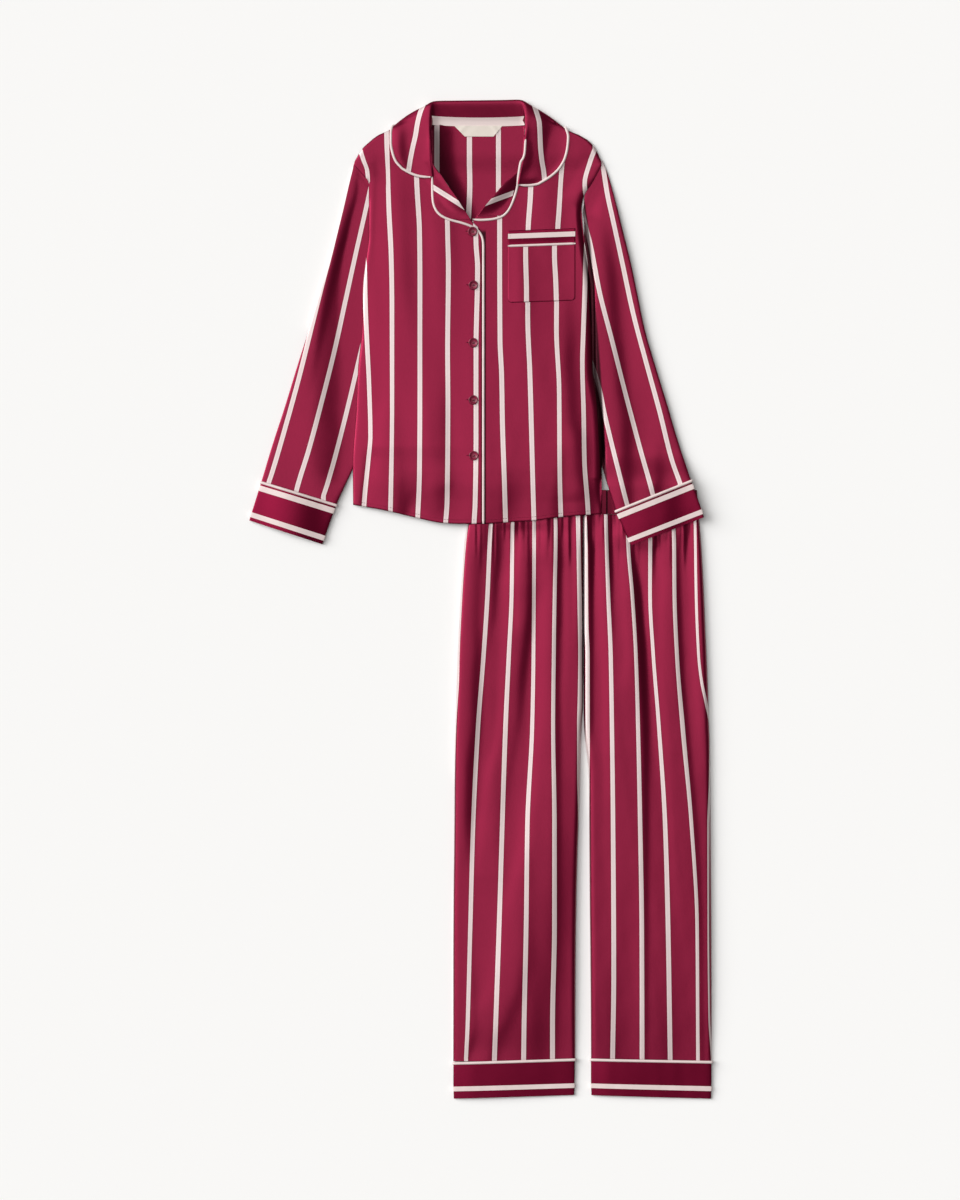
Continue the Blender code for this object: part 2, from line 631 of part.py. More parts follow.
def front_top(x, y):
    bottom = right_front_bottom(x, y) if x < 0 else left_front_bottom(x, y)
    return bottom + CLOTH


def collar_grid():
    """The collar's middle surface: up the stand, over the roll and down the leaf."""
    curves = [Curve([(index, row[column]) for index, row in enumerate(COLLAR)])
              for column in range(len(Station._fields))]
    grid = []
    for place in COLLAR_PLACES:
        row = Station(*[curve(place) for curve in curves])
        on_front = place <= 5.5 or place >= 14.5
        seam = Vector((row.seam_x, row.seam_y, row.seam_z))
        roll = Vector((row.roll_x, row.roll_y, row.roll_z))
        edge = Vector((row.edge_x, row.edge_y, row.edge_z))
        if on_front:
            seam.z = max(seam.z, front_top(seam.x, seam.y) + 2 * GAP)
        outward = Vector((edge.x - roll.x, edge.y - roll.y, 0)).normalized()
        edge -= outward * (PIPING + GAP)
        bow = Vector((-outward.y, outward.x, 0)) * row.bow
        line = [seam.lerp(roll, share) for share in (0.0, 0.5, 0.85)] + [roll]
        for share in LEAF_SHARES:
            point = roll.lerp(edge, share) + bow * math.sin(math.pi * share)
            point.z = edge.z + (roll.z - edge.z) * (1 - share) ** row.drop
            if on_front and point.y < 594:
                clear = front_top(point.x, point.y) + GAP + CLOTH / 2 + 0.35
                point.z = clear + above_zero(point.z - clear)
            line.append(point)
        grid.append(line)
    return grid


def make_collar():
    grid = collar_grid()
    thicken("collar", grid, CLOTH, SATIN)
    normals = surface_normals(grid)
    leaf_start = 5
    first = list(zip(grid[0], normals[0]))[leaf_start:-1]
    outer = [(line[-1], normal[-1]) for line, normal in zip(grid, normals)]
    last = list(zip(grid[-1], normals[-1]))[leaf_start:-1][::-1]
    edge = first + outer + last
    path = [point for point, _ in edge]
    facing = [normal for _, normal in edge]
    piping_strip("collar_piping", beside(path, facing, -(GAP + PIPING / 2 + 0.05)), facing, IVORY)


def lapel_bottom(front_bottom):
    return lambda x, y: front_bottom(x, y) + CLOTH + GAP + 0.4


def make_lapels():
    grid = panel_grid(LAPEL_RIGHT, [row.y for row in LAPEL_RIGHT], even(4))
    lay_panel("lapel_right", grid, lapel_bottom(right_front_bottom), CLOTH, SATIN)
    grid = panel_grid(LAPEL_LEFT, [row.y for row in LAPEL_LEFT], even(4))
    lay_panel("lapel_left", grid, lapel_bottom(left_front_bottom), CLOTH, SATIN)


def make_edge_piping():
    """Ivory piping round each lapel; on the right it crosses over and runs down the front edge."""
    lapel = lapel_bottom(right_front_bottom)
    middle = CLOTH / 2
    path = [Vector((row.left, row.y, lapel(row.left, row.y) + middle)) for row in LAPEL_RIGHT[2:]]
    path = beside(path, [UPWARD] * len(path), GAP + PIPING / 2)
    for x, y in ((-24.0, 471.6), (-15.0, 469.4), (-7.0, 467.8), (-1.0, 465.2), (2.9, 460.6)):
        path.append(Vector((x, y, lapel(x, y) + middle + 0.1)))
    beside_edge = PLACKET_EDGE + GAP + PIPING / 2
    for y in [452] + [height for height in SHIRT_HEIGHTS if height < 450]:
        lifted = y + hem_bend(PLACKET_EDGE, y)
        path.append(Vector((beside_edge, lifted, right_front_bottom(PLACKET_EDGE, lifted) + middle)))
    piping_strip("edge_piping_right", path, [UPWARD] * len(path), IVORY)
    lapel = lapel_bottom(left_front_bottom)
    path = [Vector((row.right, row.y, lapel(row.right, row.y) + middle)) for row in LAPEL_LEFT[1:]]
    path.append(Vector((12.0, 477.0, lapel(12.0, 477.0) + middle)))
    path = beside(path, [UPWARD] * len(path), -(GAP + PIPING / 2))
    piping_strip("edge_piping_left", path, [UPWARD] * len(path), IVORY)


def make_neck_trim():
    base = COLLAR_RISE + CLOTH + GAP
    tape = [Edge(599.4, -50.0, 45.0), Edge(593.2, -52.0, 48.0)]
    lay_panel("neck_tape", panel_grid(tape, [599.4, 593.2], even(8)), lambda x, y: base, TRIM, IVORY)
    label = [Edge(592.6, -33.5, 27.5), Edge(578.5, -20.0, 17.0)]
    lay_panel("label", panel_grid(label, [592.6, 585.0, 578.5], even(4)), lambda x, y: base, TRIM, IVORY)


def pocket_panel(name, top, bottom, side, lift, wall, finish, rows):
    """A rectangle on the left front, its points moved out from the front's own surface."""
    heights = [mix(top, bottom, row / rows) for row in range(rows + 1)]
    middle = (POCKET_LEFT + POCKET_RIGHT) / 2
    grid = []
    for y in heights:
        tilt = [POCKET_SLOPE * (x - middle) / (POCKET_RIGHT - POCKET_LEFT)
                for x in even(6)(POCKET_LEFT - side, POCKET_RIGHT + side)]
        grid.append([(x, y + up) for x, up in zip(even(6)(POCKET_LEFT - side, POCKET_RIGHT + side), tilt)])
    lay_panel(name, grid, lambda x, y: left_front_bottom(x, y) + CLOTH + lift, wall, finish)


def make_pocket():
    seam = POCKET_TOP - POCKET_BAND
    tape_top = POCKET_TOP - POCKET_TAPE_DROP
    lift = GAP + 0.15
    pocket_panel("pocket", seam - GAP, POCKET_BOTTOM, 0.0, lift, CLOTH, SATIN, 6)
    pocket_panel("pocket_band", POCKET_TOP, seam, 0.0, lift, CLOTH, SATIN, 2)
    pocket_panel("pocket_tape", tape_top, tape_top - TAPE, 0.0, lift + CLOTH + GAP, TRIM, IVORY, 1)
    pocket_panel("pocket_piping", seam + 1.2, seam - 2.4, 0.0, lift + CLOTH + GAP, TRIM, IVORY, 1)


def make_buttons():
    profile = [(4.3, 0.0), (5.4, 0.8), (BUTTON_RADIUS, 1.6), (4.8, BUTTON_HEIGHT), (3.7, 1.7)]
    sides = 16
    for number, (x, y) in enumerate(BUTTONS, start=1):
        under = [(x + 5 * math.cos(turn), y + 5 * math.sin(turn)) for turn in (0, 1.57, 3.14, 4.71)]
        seat = max(right_front_bottom(px, py) for px, py in under) + CLOTH + GAP
        points = [(x, y, seat)]
        for radius, height in profile:
            for side in range(sides):
                turn = 2 * math.pi * side / sides
                points.append((x + radius * math.cos(turn), y + radius * math.sin(turn), seat + height))
        points.append((x, y, seat + profile[-1][1]))
        faces = []
        for side in range(sides):
            following = (side + 1) % sides
            faces.append((0, 1 + following, 1 + side))
            for level in range(len(profile) - 1):
                low, high = 1 + level * sides, 1 + (level + 1) * sides
                faces.append((low + side, low + following, high + following, high + side))
            top = 1 + (len(profile) - 1) * sides
            faces.append((top + side, top + following, len(points) - 1))
        add_solid(f"button_{number}", points, faces, SHINE)


def make_sleeve(side, sleeve, cuff, lift, press):
    flat_tube(f"sleeve_{side}", sleeve, CLOTH, SATIN, lift, SLEEVE_FOLDS, press)
    flat_tube(f"cuff_{side}", cuff, CLOTH, SATIN, lift)
    piping_end = PIPING / CUFF_LENGTH
    upper_start = (PIPING + 2.0) / CUFF_LENGTH
    lower_end = 1.0 - 4.6 / CUFF_LENGTH
    tape = TAPE / CUFF_LENGTH
    strap_round(f"cuff_piping_{side}", cuff, 0.0, piping_end, CLOTH, IVORY, lift)
    strap_round(f"cuff_tape_upper_{side}", cuff, upper_start, upper_start + tape, TRIM, IVORY, lift)
    strap_round(f"cuff_tape_lower_{side}", cuff, lower_end - tape, lower_end, TRIM, IVORY, lift)


# ---- the pieces of the trousers ----

def leg_loft(x, y, outline_left, outline_right):
    left, right = outline_left(y), outline_right(y)
    across = 2 * (x - left) / (right - left) - 1
    edge = max(0.0, 1.0 - across ** 4)
    troughs = fold_depth(GATHERS, x, y) + fold_depth(LEG_FOLDS, x, y)
    return max(0.0, above_zero(LEG_LOFT(y) * edge - troughs * edge) - 0.15)


def make_leg(side, outline, band):
    left = table_curve(outline, "y", "left")
    right = table_curve(outline, "y", "right")
    grid = panel_grid(outline, LEG_HEIGHTS, even(LEG_COLUMNS))
    lay_panel(f"trouser_front_{side}", grid,
              lambda x, y: CLOTH + GAP + leg_loft(x, y, left, right), CLOTH, SATIN)
    flat = panel_grid(outline, LEG_HEIGHTS[::2] + [LEG_HEIGHTS[-1]], even(2))
    lay_panel(f"trouser_back_{side}", flat, flat_on_table, CLOTH, SATIN)
    flat_tube(f"hem_band_{side}", band, CLOTH, SATIN, flat_on_table)
    piping_end = 4.0 / HEM_BAND_LENGTH
    tape_end = 1.0 - 9.4 / HEM_BAND_LENGTH
    tape_start = tape_end - TAPE / HEM_BAND_LENGTH
    strap_round(f"hem_piping_{side}", band, 0.0, piping_end, CLOTH, IVORY, flat_on_table)
    strap_round(f"hem_tape_{side}", band, tape_start, tape_end, TRIM, IVORY, flat_on_table)


def make_waistband():
    flat_tube("waistband", WAIST, WAIST_WALL, SATIN, flat_on_table)


def build():
    for leftover in list(bpy.data.objects):
        bpy.data.objects.remove(leftover)
    make_back()
    make_fronts()
    make_collar()
    make_lapels()
    make_edge_piping()
    make_neck_trim()
    make_pocket()
    make_buttons()
    make_sleeve("right", SLEEVE_RIGHT, CUFF_RIGHT, flat_on_table, under_body)
    make_sleeve("left", SLEEVE_LEFT, CUFF_LEFT, over_trousers, None)
    make_leg("right", LEG_RIGHT, HEM_BAND_RIGHT)
    make_leg("left", LEG_LEFT, HEM_BAND_LEFT)
    make_waistband()


build()
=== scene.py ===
import math

import bpy
import numpy as np
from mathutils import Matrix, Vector


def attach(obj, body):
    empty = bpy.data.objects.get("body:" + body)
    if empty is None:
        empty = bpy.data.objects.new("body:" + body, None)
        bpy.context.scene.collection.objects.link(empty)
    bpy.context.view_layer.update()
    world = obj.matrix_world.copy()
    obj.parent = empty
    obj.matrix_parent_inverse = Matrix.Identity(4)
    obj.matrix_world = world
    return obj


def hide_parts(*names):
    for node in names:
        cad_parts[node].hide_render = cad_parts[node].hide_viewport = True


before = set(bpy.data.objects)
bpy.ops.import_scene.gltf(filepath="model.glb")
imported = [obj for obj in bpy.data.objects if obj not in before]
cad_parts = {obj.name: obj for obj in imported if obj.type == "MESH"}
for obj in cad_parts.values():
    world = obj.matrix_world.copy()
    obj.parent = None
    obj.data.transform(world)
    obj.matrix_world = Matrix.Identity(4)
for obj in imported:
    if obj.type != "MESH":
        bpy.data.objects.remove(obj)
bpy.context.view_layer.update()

# A child's satin pyjama set laid flat. Tables are in millimetres, the wearer's right is at -X.
millimetre = 0.001
clothRepeat = 36.0      # millimetres of cloth from one stripe to the next
narrowRepeat = 34.0     # the same in sleeves and legs
panelWidth = 146        # a usual width of a front or a leg, to space its columns by


# curves and soft steps

def curveThrough(pairs):        # a smooth curve through (place, value) pairs that never overshoots them
    places, values = [np.array(part, dtype=float) for part in zip(*sorted(pairs))]
    widths = np.diff(places)
    slopes = np.diff(values) / widths
    tangents = np.zeros(len(places))
    tangents[0], tangents[-1] = slopes[0], slopes[-1]
    for index in range(1, len(slopes)):
        before, after = slopes[index - 1], slopes[index]
        tangents[index] = 0.0 if before * after <= 0 else 2 * before * after / (before + after)

    def at(place):
        place = np.clip(place, places[0], places[-1])
        index = np.clip(np.searchsorted(places, place, side="right") - 1, 0, len(widths) - 1)
        width = widths[index]
        t = (place - places[index]) / width
        return ((2 * t ** 3 - 3 * t ** 2 + 1) * values[index]
                + (t ** 3 - 2 * t ** 2 + t) * tangents[index] * width
                + (3 * t ** 2 - 2 * t ** 3) * values[index + 1]
                + (t ** 3 - t ** 2) * tangents[index + 1] * width)
    return at


def smoothStep(value, start, end):
    share = np.clip((value - start) / (end - start), 0.0, 1.0)
    return share * share * (3.0 - 2.0 * share)


def fade(value, start, end):
    return 1.0 - smoothStep(value, start, end)


def aboveZero(value, softness=0.6):
    return 0.5 * (value + np.sqrt(value * value + softness * softness))


def roundedFall(distance, radius, fall):       # how far cloth has turned down, this near its edge
    near = 1.0 - np.clip(distance / radius, 0.0, 1.0)
    return fall * (1.0 - np.sqrt(np.maximum(0.0, 1.0 - near * near)))


def unevenness(x, y, size, seed):       # soft random rise and fall between about -1 and 1
    chance = np.random.default_rng(seed)
    total = np.zeros(np.broadcast(x, y).shape)
    for _ in range(9):
        turn = chance.uniform(0, 2 * math.pi)
        pace = 2 * math.pi / (size * chance.uniform(0.6, 1.7))
        total += np.sin((x * math.cos(turn) + y * math.sin(turn)) * pace + chance.uniform(0, 2 * math.pi))
    return total / 3.2


# Folds: each has a half width and rows of (y, x, slope). Cloth that rises towards +X has a positive slope.
foldStrength = {"falls": 1.45, "rises": 0.95}


def foldHeight(folds, x, y):
    total = np.zeros(np.broadcast(x, y).shape)
    for halfWidth, rows in folds:
        place = curveThrough([(row[0], row[1]) for row in rows])
        slope = curveThrough([(row[0], row[2]) for row in rows])(y)
        slope = slope * np.where(slope < 0, foldStrength["falls"], foldStrength["rises"])
        total += slope * halfWidth * np.tanh((x - place(y)) / halfWidth)
    return total


def levelFolds(folds, x, y, left, right):       # the same folds, brought back to nothing at both sides
    share = np.clip((x - left) / (right - left), 0.0, 1.0)
    first, last = foldHeight(folds, left, y), foldHeight(folds, right, y)
    return foldHeight(folds, x, y) - first - (last - first) * share


def stripeLines(table):
    return [curveThrough(rows) for rows in table]


def edgesOf(table):     # left and right edge from rows of (y, left, right)
    return [curveThrough([(row[0], row[side]) for row in table]) for side in (1, 2)]


def stripePlace(table, x, y, pitch=clothRepeat):        # whole numbers fall on the middles of the stripes
    centres = [line(y) for line in stripeLines(table)]
    place = (x - centres[0]) / pitch
    for index in range(len(centres) - 1):
        share = (x - centres[index]) / (centres[index + 1] - centres[index])
        place = np.where(x >= centres[index], index + share, place)
    return np.where(x >= centres[-1], len(centres) - 1 + (x - centres[-1]) / pitch, place)


def oneStripe(distance):        # a single stripe with plain maroon on both sides of it
    return np.clip(distance / clothRepeat, -0.42, 0.42)


# finishes

class Wire:     # one output of a node; sums with it add Math nodes
    def __init__(self, finish, socket):
        self.finish = finish
        self.socket = socket

    def join(self, operation, first, second=0.0):
        return self.finish.node("ShaderNodeMath", {"operation": operation}, {0: first, 1: second})

    def __add__(self, other):
        return self.join("ADD", self, other)

    __radd__ = __add__

    def __sub__(self, other):
        return self.join("SUBTRACT", self, other)

    def __rsub__(self, other):
        return self.join("SUBTRACT", other, self)

    def __mul__(self, other):
        return self.join("MULTIPLY", self, other)

    __rmul__ = __mul__

    def __truediv__(self, other):
        return self.join("DIVIDE", self, other)

    def __rtruediv__(self, other):
        return self.join("DIVIDE", other, self)

    def __abs__(self):
        return self.join("ABSOLUTE", self)

    def rounded(self):
        return self.join("ROUND", self)


class Finish:       # a material under construction
    def __init__(self, name, **fixed):
        self.material = bpy.data.materials.new(name)
        self.material.use_nodes = True
        self.tree = self.material.node_tree
        self.surface = self.tree.nodes["Principled BSDF"]
        for key, value in fixed.items():
            self.surface.inputs[key.replace("_", " ")].default_value = value

    def node(self, kind, settings=None, inputs=None, output=0):
        made = self.tree.nodes.new(kind)
        for key, value in (settings or {}).items():
            if key == "stops":
                for stop, (place, colour) in zip(made.color_ramp.elements, value):
                    stop.position, stop.color = place, colour
            else:
                setattr(made, key, value)
        for key, value in (inputs or {}).items():
            self.feed(self.pick(made.inputs, key), value)
        return Wire(self, self.pick(made.outputs, output))

    def pick(self, sockets, key):
        if isinstance(key, int):
            return sockets[key]
        return next(socket for socket in sockets if socket.name == key and socket.enabled)

    def feed(self, socket, value):
        if isinstance(value, Wire):
            self.tree.links.new(value.socket, socket)
        else:
            socket.default_value = value

    def mixColour(self, share, first, second, blend="MIX"):
        return self.node("ShaderNodeMix", {"data_type": "RGBA", "blend_type": blend},
                         {"Factor": share, "A": first, "B": second}, "Result")

    def step(self, value, start, end, low=0.0, high=1.0):
        return self.node("ShaderNodeMapRange", {"interpolation_type": "SMOOTHSTEP"},
                         {"Value": value, "From Min": start, "From Max": end, "To Min": low, "To Max": high})

    def clothPlace(self, stretchAcross, stretchAlong):      # cloth coordinates, drawn out for streaks
        place = self.node("ShaderNodeUVMap", {"uv_map": "cloth"})
        return self.node("ShaderNodeVectorMath", {"operation": "MULTIPLY"},
                         {0: place, 1: (stretchAcross, stretchAlong, 1.0)}, "Vector")

    def grain(self, place, scale, detail=2.0):
        return self.node("ShaderNodeTexNoise", {}, {"Vector": place, "Scale": scale, "Detail": detail}, "Fac")

    def bump(self, height, strength, distance):
        wire = self.node("ShaderNodeBump", {}, {"Height": height, "Strength": strength, "Distance": distance})
        self.feed(self.surface.inputs["Normal"], wire)


stripeLook = {"halfWidth": 0.082, "softness": 0.006, "borderWidth": 0.03, "borderDark": 0.62,
              "maroon": (0.188, 0.0032, 0.028, 1), "maroonDeep": (0.174, 0.0028, 0.026, 1),
              "plain": (0.142, 0.002, 0.02, 1),
              "ivory": (0.69, 0.545, 0.54, 1), "ivoryGrey": (0.60, 0.495, 0.485, 1),
              "paintedShadeOrThreadDark": (0.012, 0.0004, 0.002, 1), "metallic": 0.8, "ivoryMetallic": 0.3, "roughness": 0.37}


def satinFinish(name, striped, paintedShadeOrThreadColour=None):
    look = stripeLook
    finish = Finish(name, Specular_IOR_Level=0.25, Sheen_Weight=0.02, Sheen_Roughness=0.45,
                    Sheen_Tint=(1.0, 0.45, 0.55, 1.0), Coat_Weight=0.1, Coat_Roughness=0.28)
    streaks = finish.grain(finish.clothPlace(1.0, 0.12), 34.0, 3.0)     # drawn out along the warp
    shade = finish.step(streaks, 0.3, 0.7)
    maroon = finish.mixColour(shade, look["maroonDeep"], look["maroon"])
    roughness = look["roughness"] + 0.08 * (streaks - 0.5)
    threads = finish.grain(finish.clothPlace(1.0, 0.22), 260.0, 1.0)
    relief = 0.6 * threads + 0.4 * streaks
    if striped:
        across = finish.node("ShaderNodeSeparateXYZ", {}, {0: finish.clothPlace(1.0, 1.0)}, "X")
        away = abs(across - across.rounded())
        edge, soft = look["halfWidth"], look["softness"]
        stripe = finish.step(away, edge - soft, edge + soft, 1.0, 0.0)
        border = finish.step(away, edge + soft, edge + look["borderWidth"] + soft, look["borderDark"], 1.0)
        maroon = finish.mixColour(1.0, maroon, finish.node("ShaderNodeCombineColor", {},
                                  {0: border, 1: border, 2: border}), "MULTIPLY")
        ivory = finish.mixColour(finish.step(away, edge * 0.3, edge * 0.75), look["ivoryGrey"], look["ivory"])
        colour = finish.mixColour(stripe, maroon, ivory)
        finish.feed(finish.surface.inputs["Metallic"],
                    look["metallic"] + stripe * (look["ivoryMetallic"] - look["metallic"]))
        relief = relief + 0.5 * stripe
    else:
        # painted shade: the plain bands' maroon is painted darker than the striped cloth's, for the weaker
        # sheen of satin cut across the grain
        colour = finish.mixColour(0.85, maroon, look["plain"])
        finish.surface.inputs["Coat Weight"].default_value = 0.035
        finish.surface.inputs["Specular IOR Level"].default_value = 0.12
        finish.surface.inputs["Metallic"].default_value = look["metallic"]
    if paintedShadeOrThreadColour:        # painted shade: deep places where hardly any light comes are painted towards the darkest maroon; the button thread uses it for its own darker colour
        place = finish.node("ShaderNodeTexCoord", {}, {}, "Object")
        spot = [1000 * finish.node("ShaderNodeSeparateXYZ", {}, {0: place}, axis) for axis in ("X", "Y")]
        share = paintedShadeOrThreadColour(finish, *spot)
        colour = finish.mixColour(share, colour, look["paintedShadeOrThreadDark"])
        finish.feed(finish.surface.inputs["Coat Weight"], 0.1 * (1.0 - share))
    finish.feed(finish.surface.inputs["Base Color"], colour)
    finish.feed(finish.surface.inputs["Roughness"], roughness)
    finish.bump(relief, 0.25, 0.00008)
    return finish.material


trimLook = {"light": (0.80, 0.655, 0.635, 1), "shade": (0.70, 0.575, 0.55, 1), "roughness": 0.46}


def trimFinish(name, ribs, shade=None, light=None):
    look = trimLook
    finish = Finish(name, Specular_IOR_Level=0.3, Sheen_Weight=0.12, Sheen_Roughness=0.5)
    weave = finish.grain(finish.clothPlace(1.0, ribs), 120.0, 2.0)
    clouds = finish.grain(finish.clothPlace(1.0, 1.0), 2.2, 2.0)
    share = finish.step(0.5 * weave + 0.5 * clouds, 0.35, 0.65)
    colour = finish.mixColour(share, shade or look["shade"], light or look["light"])
    finish.feed(finish.surface.inputs["Base Color"], colour)
    finish.feed(finish.surface.inputs["Roughness"], look["roughness"] + 0.1 * (weave - 0.5))
    finish.bump(weave, 0.4, 0.00015)
    return finish.material


buttonLook = {"colour": (0.15, 0.006, 0.026, 1), "pale": (0.24, 0.018, 0.05, 1), "roughness": 0.34}


def buttonFinish():
    look = buttonLook
    finish = Finish("buttonPlastic", Specular_IOR_Level=0.3, Coat_Weight=0.08, Coat_Roughness=0.2)
    place = finish.node("ShaderNodeTexCoord", {}, {}, "Object")
    swirl = finish.grain(place, 260.0, 3.0)
    finish.feed(finish.surface.inputs["Base Color"],
                finish.mixColour(finish.step(swirl, 0.4, 0.7), look["colour"], look["pale"]))
    finish.feed(finish.surface.inputs["Roughness"], look["roughness"] + 0.12 * (swirl - 0.5))
    finish.bump(finish.grain(place, 900.0, 1.0), 0.2, 0.00005)
    return finish.material


stripedSatin = satinFinish("stripedSatin", True)
plainSatin = satinFinish("plainSatin", False)
ivoryPiping = trimFinish("ivoryPiping", 0.5)
ivoryTape = trimFinish("ivoryTape", 2.0)
labelWeave = trimFinish("labelWeave", 0.7, (0.70, 0.62, 0.545, 1), (0.78, 0.70, 0.62, 1))
buttonPlastic = buttonFinish()
print("finishes made")


# from grids of points to cloth

def quads(index):
    return np.stack([index[:-1, :-1], index[1:, :-1], index[1:, 1:], index[:-1, 1:]], axis=-1).reshape(-1, 4)


# a thin wall between two grids of points; a wrapped one is a tube with one more column of cloth places
def clothShell(name, outer, inner, clothPlaces, material, wrapped=False, sharp=55):
    rows, columns = outer.shape[:2]
    points = np.concatenate([outer.reshape(-1, 3), inner.reshape(-1, 3)])
    index = np.arange(rows * columns).reshape(rows, columns)
    if wrapped:
        index = np.hstack([index, index[:, :1]])
    places = np.arange(index.size).reshape(index.shape)
    under = rows * columns
    faces, corners = [quads(index), quads(index)[:, ::-1] + under], [quads(places), quads(places)[:, ::-1]]
    rims = [(index[0], places[0], False), (index[-1], places[-1], True)]
    if not wrapped:
        rims += [(index[:, 0], places[:, 0], True), (index[:, -1], places[:, -1], False)]
    for line, at, flip in rims:
        strip = np.stack([line[:-1], line[1:], line[1:] + under, line[:-1] + under], axis=-1)
        ends = np.stack([at[:-1], at[1:], at[1:], at[:-1]], axis=-1)
        faces.append(strip[:, ::-1] if flip else strip)
        corners.append(ends[:, ::-1] if flip else ends)
    faces, corners = np.concatenate(faces), np.concatenate(corners)
    mesh = newMesh(name, points, faces.tolist())
    places = clothPlaces.reshape(-1, 2)[corners.reshape(-1)]
    mesh.uv_layers["cloth"].data.foreach_set("uv", places.astype(np.float32).reshape(-1))
    mesh.set_sharp_from_angle(angle=math.radians(sharp))
    return addPiece(name, mesh, material)


def newMesh(name, points, faces):
    mesh = bpy.data.meshes.new(name)
    mesh.from_pydata(np.asarray(points) * millimetre, [], faces)
    mesh.uv_layers.new(name="cloth")
    mesh.shade_smooth()
    return mesh


def addPiece(name, mesh, material):
    mesh.materials.append(material)
    piece = bpy.data.objects.new(name, mesh)
    bpy.context.scene.collection.objects.link(piece)
    return piece


def settle(piece, slot, *nodes):        # the piece rides on the set and stands for its nodes
    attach(piece, "root")
    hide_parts(*nodes)
    return piece


# shares across a width, closer together near both edges
def edgeShares(width, spacing, near=(0.0, 0.35, 0.9, 1.7, 2.7, 4.0)):
    near = np.array(near)
    middle = np.linspace(near[-1], width - near[-1], max(2, int((width - 2 * near[-1]) / spacing) + 1))
    return np.concatenate([near[:-1], middle, width - near[::-1][1:]]) / width


def panelPlaces(left, right, heights, shares, bend=None):
    y = heights[:, None] + 0.0 * shares[None, :]
    x = left(heights)[:, None] + (right(heights) - left(heights))[:, None] * shares[None, :]
    if bend:
        y = y + bend(x, y)
    return x, y


def alongCloth(x, y):       # the length travelled down each column of a panel
    steps = np.hypot(np.diff(x, axis=0), np.diff(y, axis=0))
    return np.concatenate([np.zeros((1, x.shape[1])), np.cumsum(steps, axis=0)]) / clothRepeat


def pointsOf(x, y, z):
    return np.stack([x, y, z], axis=-1)


def layCloth(name, x, y, top, wall, material, across, floor=0.05):
    bottom = np.maximum(top - wall, floor)
    places = np.stack([across, alongCloth(x, y)], axis=-1)
    return clothShell(name, pointsOf(x, y, top), pointsOf(x, y, bottom), places, material)


def travelled(points):
    return np.concatenate([[0], np.cumsum(np.linalg.norm(np.diff(points, axis=0), axis=1))])


def smoothPath(points, spacing):
    points = np.array(points, dtype=float)
    length = travelled(points)
    steps = np.linspace(0, length[-1], max(2, int(length[-1] / spacing) + 1))
    return np.stack([curveThrough(list(zip(length, axis)))(steps) for axis in points.T], axis=-1)


# a round cord of covered piping along points; a closed one is a ring
def pipingCord(name, points, radius, material, flatten=0.86, sides=12, closed=False):
    points = np.array(points, dtype=float)
    ahead, behind = np.roll(points, -1, axis=0), np.roll(points, 1, axis=0)
    if not closed:
        ahead[-1], behind[0] = points[-1], points[0]
    along = ahead - behind
    along /= np.linalg.norm(along, axis=1)[:, None]
    if closed:
        outward = points - points.mean(axis=0)
    else:
        outward = np.tile([0.0, 0.0, 1.0], (len(points), 1))
    side = np.cross(along, outward)
    side /= np.linalg.norm(side, axis=1)[:, None]
    up = np.cross(side, along)
    turn = np.linspace(0, 2 * math.pi, sides, endpoint=False)
    thick = np.full(len(points), radius)
    if not closed:      # the ends draw in
        count = min(4, len(points) // 3)
        thick[:count] *= np.linspace(0.55, 1.0, count)
        thick[-count:] *= np.linspace(1.0, 0.55, count)
    ring = (points[:, None, :] + thick[:, None, None] * (np.cos(turn)[None, :, None] * side[:, None, :]
            + flatten * np.sin(turn)[None, :, None] * up[:, None, :]))
    ring[:, :, 2] = np.maximum(ring[:, :, 2], 0.06)
    rows = len(points)
    index = np.arange(rows * sides).reshape(rows, sides)
    index = np.hstack([index, index[:, :1]])
    if closed:
        index = np.vstack([index, index[:1]])
    faces = quads(index)[:, ::-1].tolist()
    if not closed:
        faces += [index[0, :-1].tolist(), index[-1, :-1][::-1].tolist()]
    mesh = newMesh(name, ring.reshape(-1, 3), faces)
    layer = mesh.uv_layers["cloth"]
    length = travelled(points)
    length = np.append(length, length[-1] + 2) / clothRepeat
    for face in mesh.polygons:
        for loop, vertex in zip(face.loop_indices, face.vertices):
            layer.data[loop].uv = (vertex % sides * radius / 2 / clothRepeat, length[vertex // sides])
    return addPiece(name, mesh, material)


# a row of short stitches along points, all in one mesh
def stitchRow(name, points, material, stitch=2.2, gap=1.1, radius=0.28):
    path = smoothPath(points, 0.4)
    length = travelled(path)
    at = [curveThrough(list(zip(length, axis))) for axis in path.T]
    vertices, faces = [], []
    start = gap / 2
    while start + stitch < length[-1]:
        first, last = [np.array([axis(place) for axis in at]) for place in (start, start + stitch)]
        along = (last - first) / np.linalg.norm(last - first)
        side = np.cross(along, [0, 0, 1.0])
        side /= np.linalg.norm(side)
        base = len(vertices)
        for share, size in ((0.0, 0.35), (0.25, 1.0), (0.75, 1.0), (1.0, 0.35)):
            middle = first + (last - first) * share
            for turn in np.linspace(0, math.pi, 4):
                offset = side * math.cos(turn) * radius * size
                rise = math.sin(turn) * radius * 1.2 * size - 0.1
                vertices.append(middle + offset + np.array([0, 0, rise]))
        for level in range(3):
            for step in range(3):
                a = base + level * 4 + step
                faces.append((a, a + 1, a + 5, a + 4))
        faces += [(base + 3, base + 2, base + 1, base), (base + 12, base + 13, base + 14, base + 15)]
        for level in range(3):
            a = base + level * 4
            faces.append((a, a + 4, a + 7, a + 3))
        start += stitch + gap
    return addPiece(name, newMesh(name, vertices, faces), material)


# how the layers ride over each other

layers = {"overTrousers": 7.3, "overSleeve": 4.2, "overCollar": 1.85, "placket": 1.9, "neckRoll": 4.4,
          "cloth": 1.2, "gap": 0.3, "lying": 1.05}

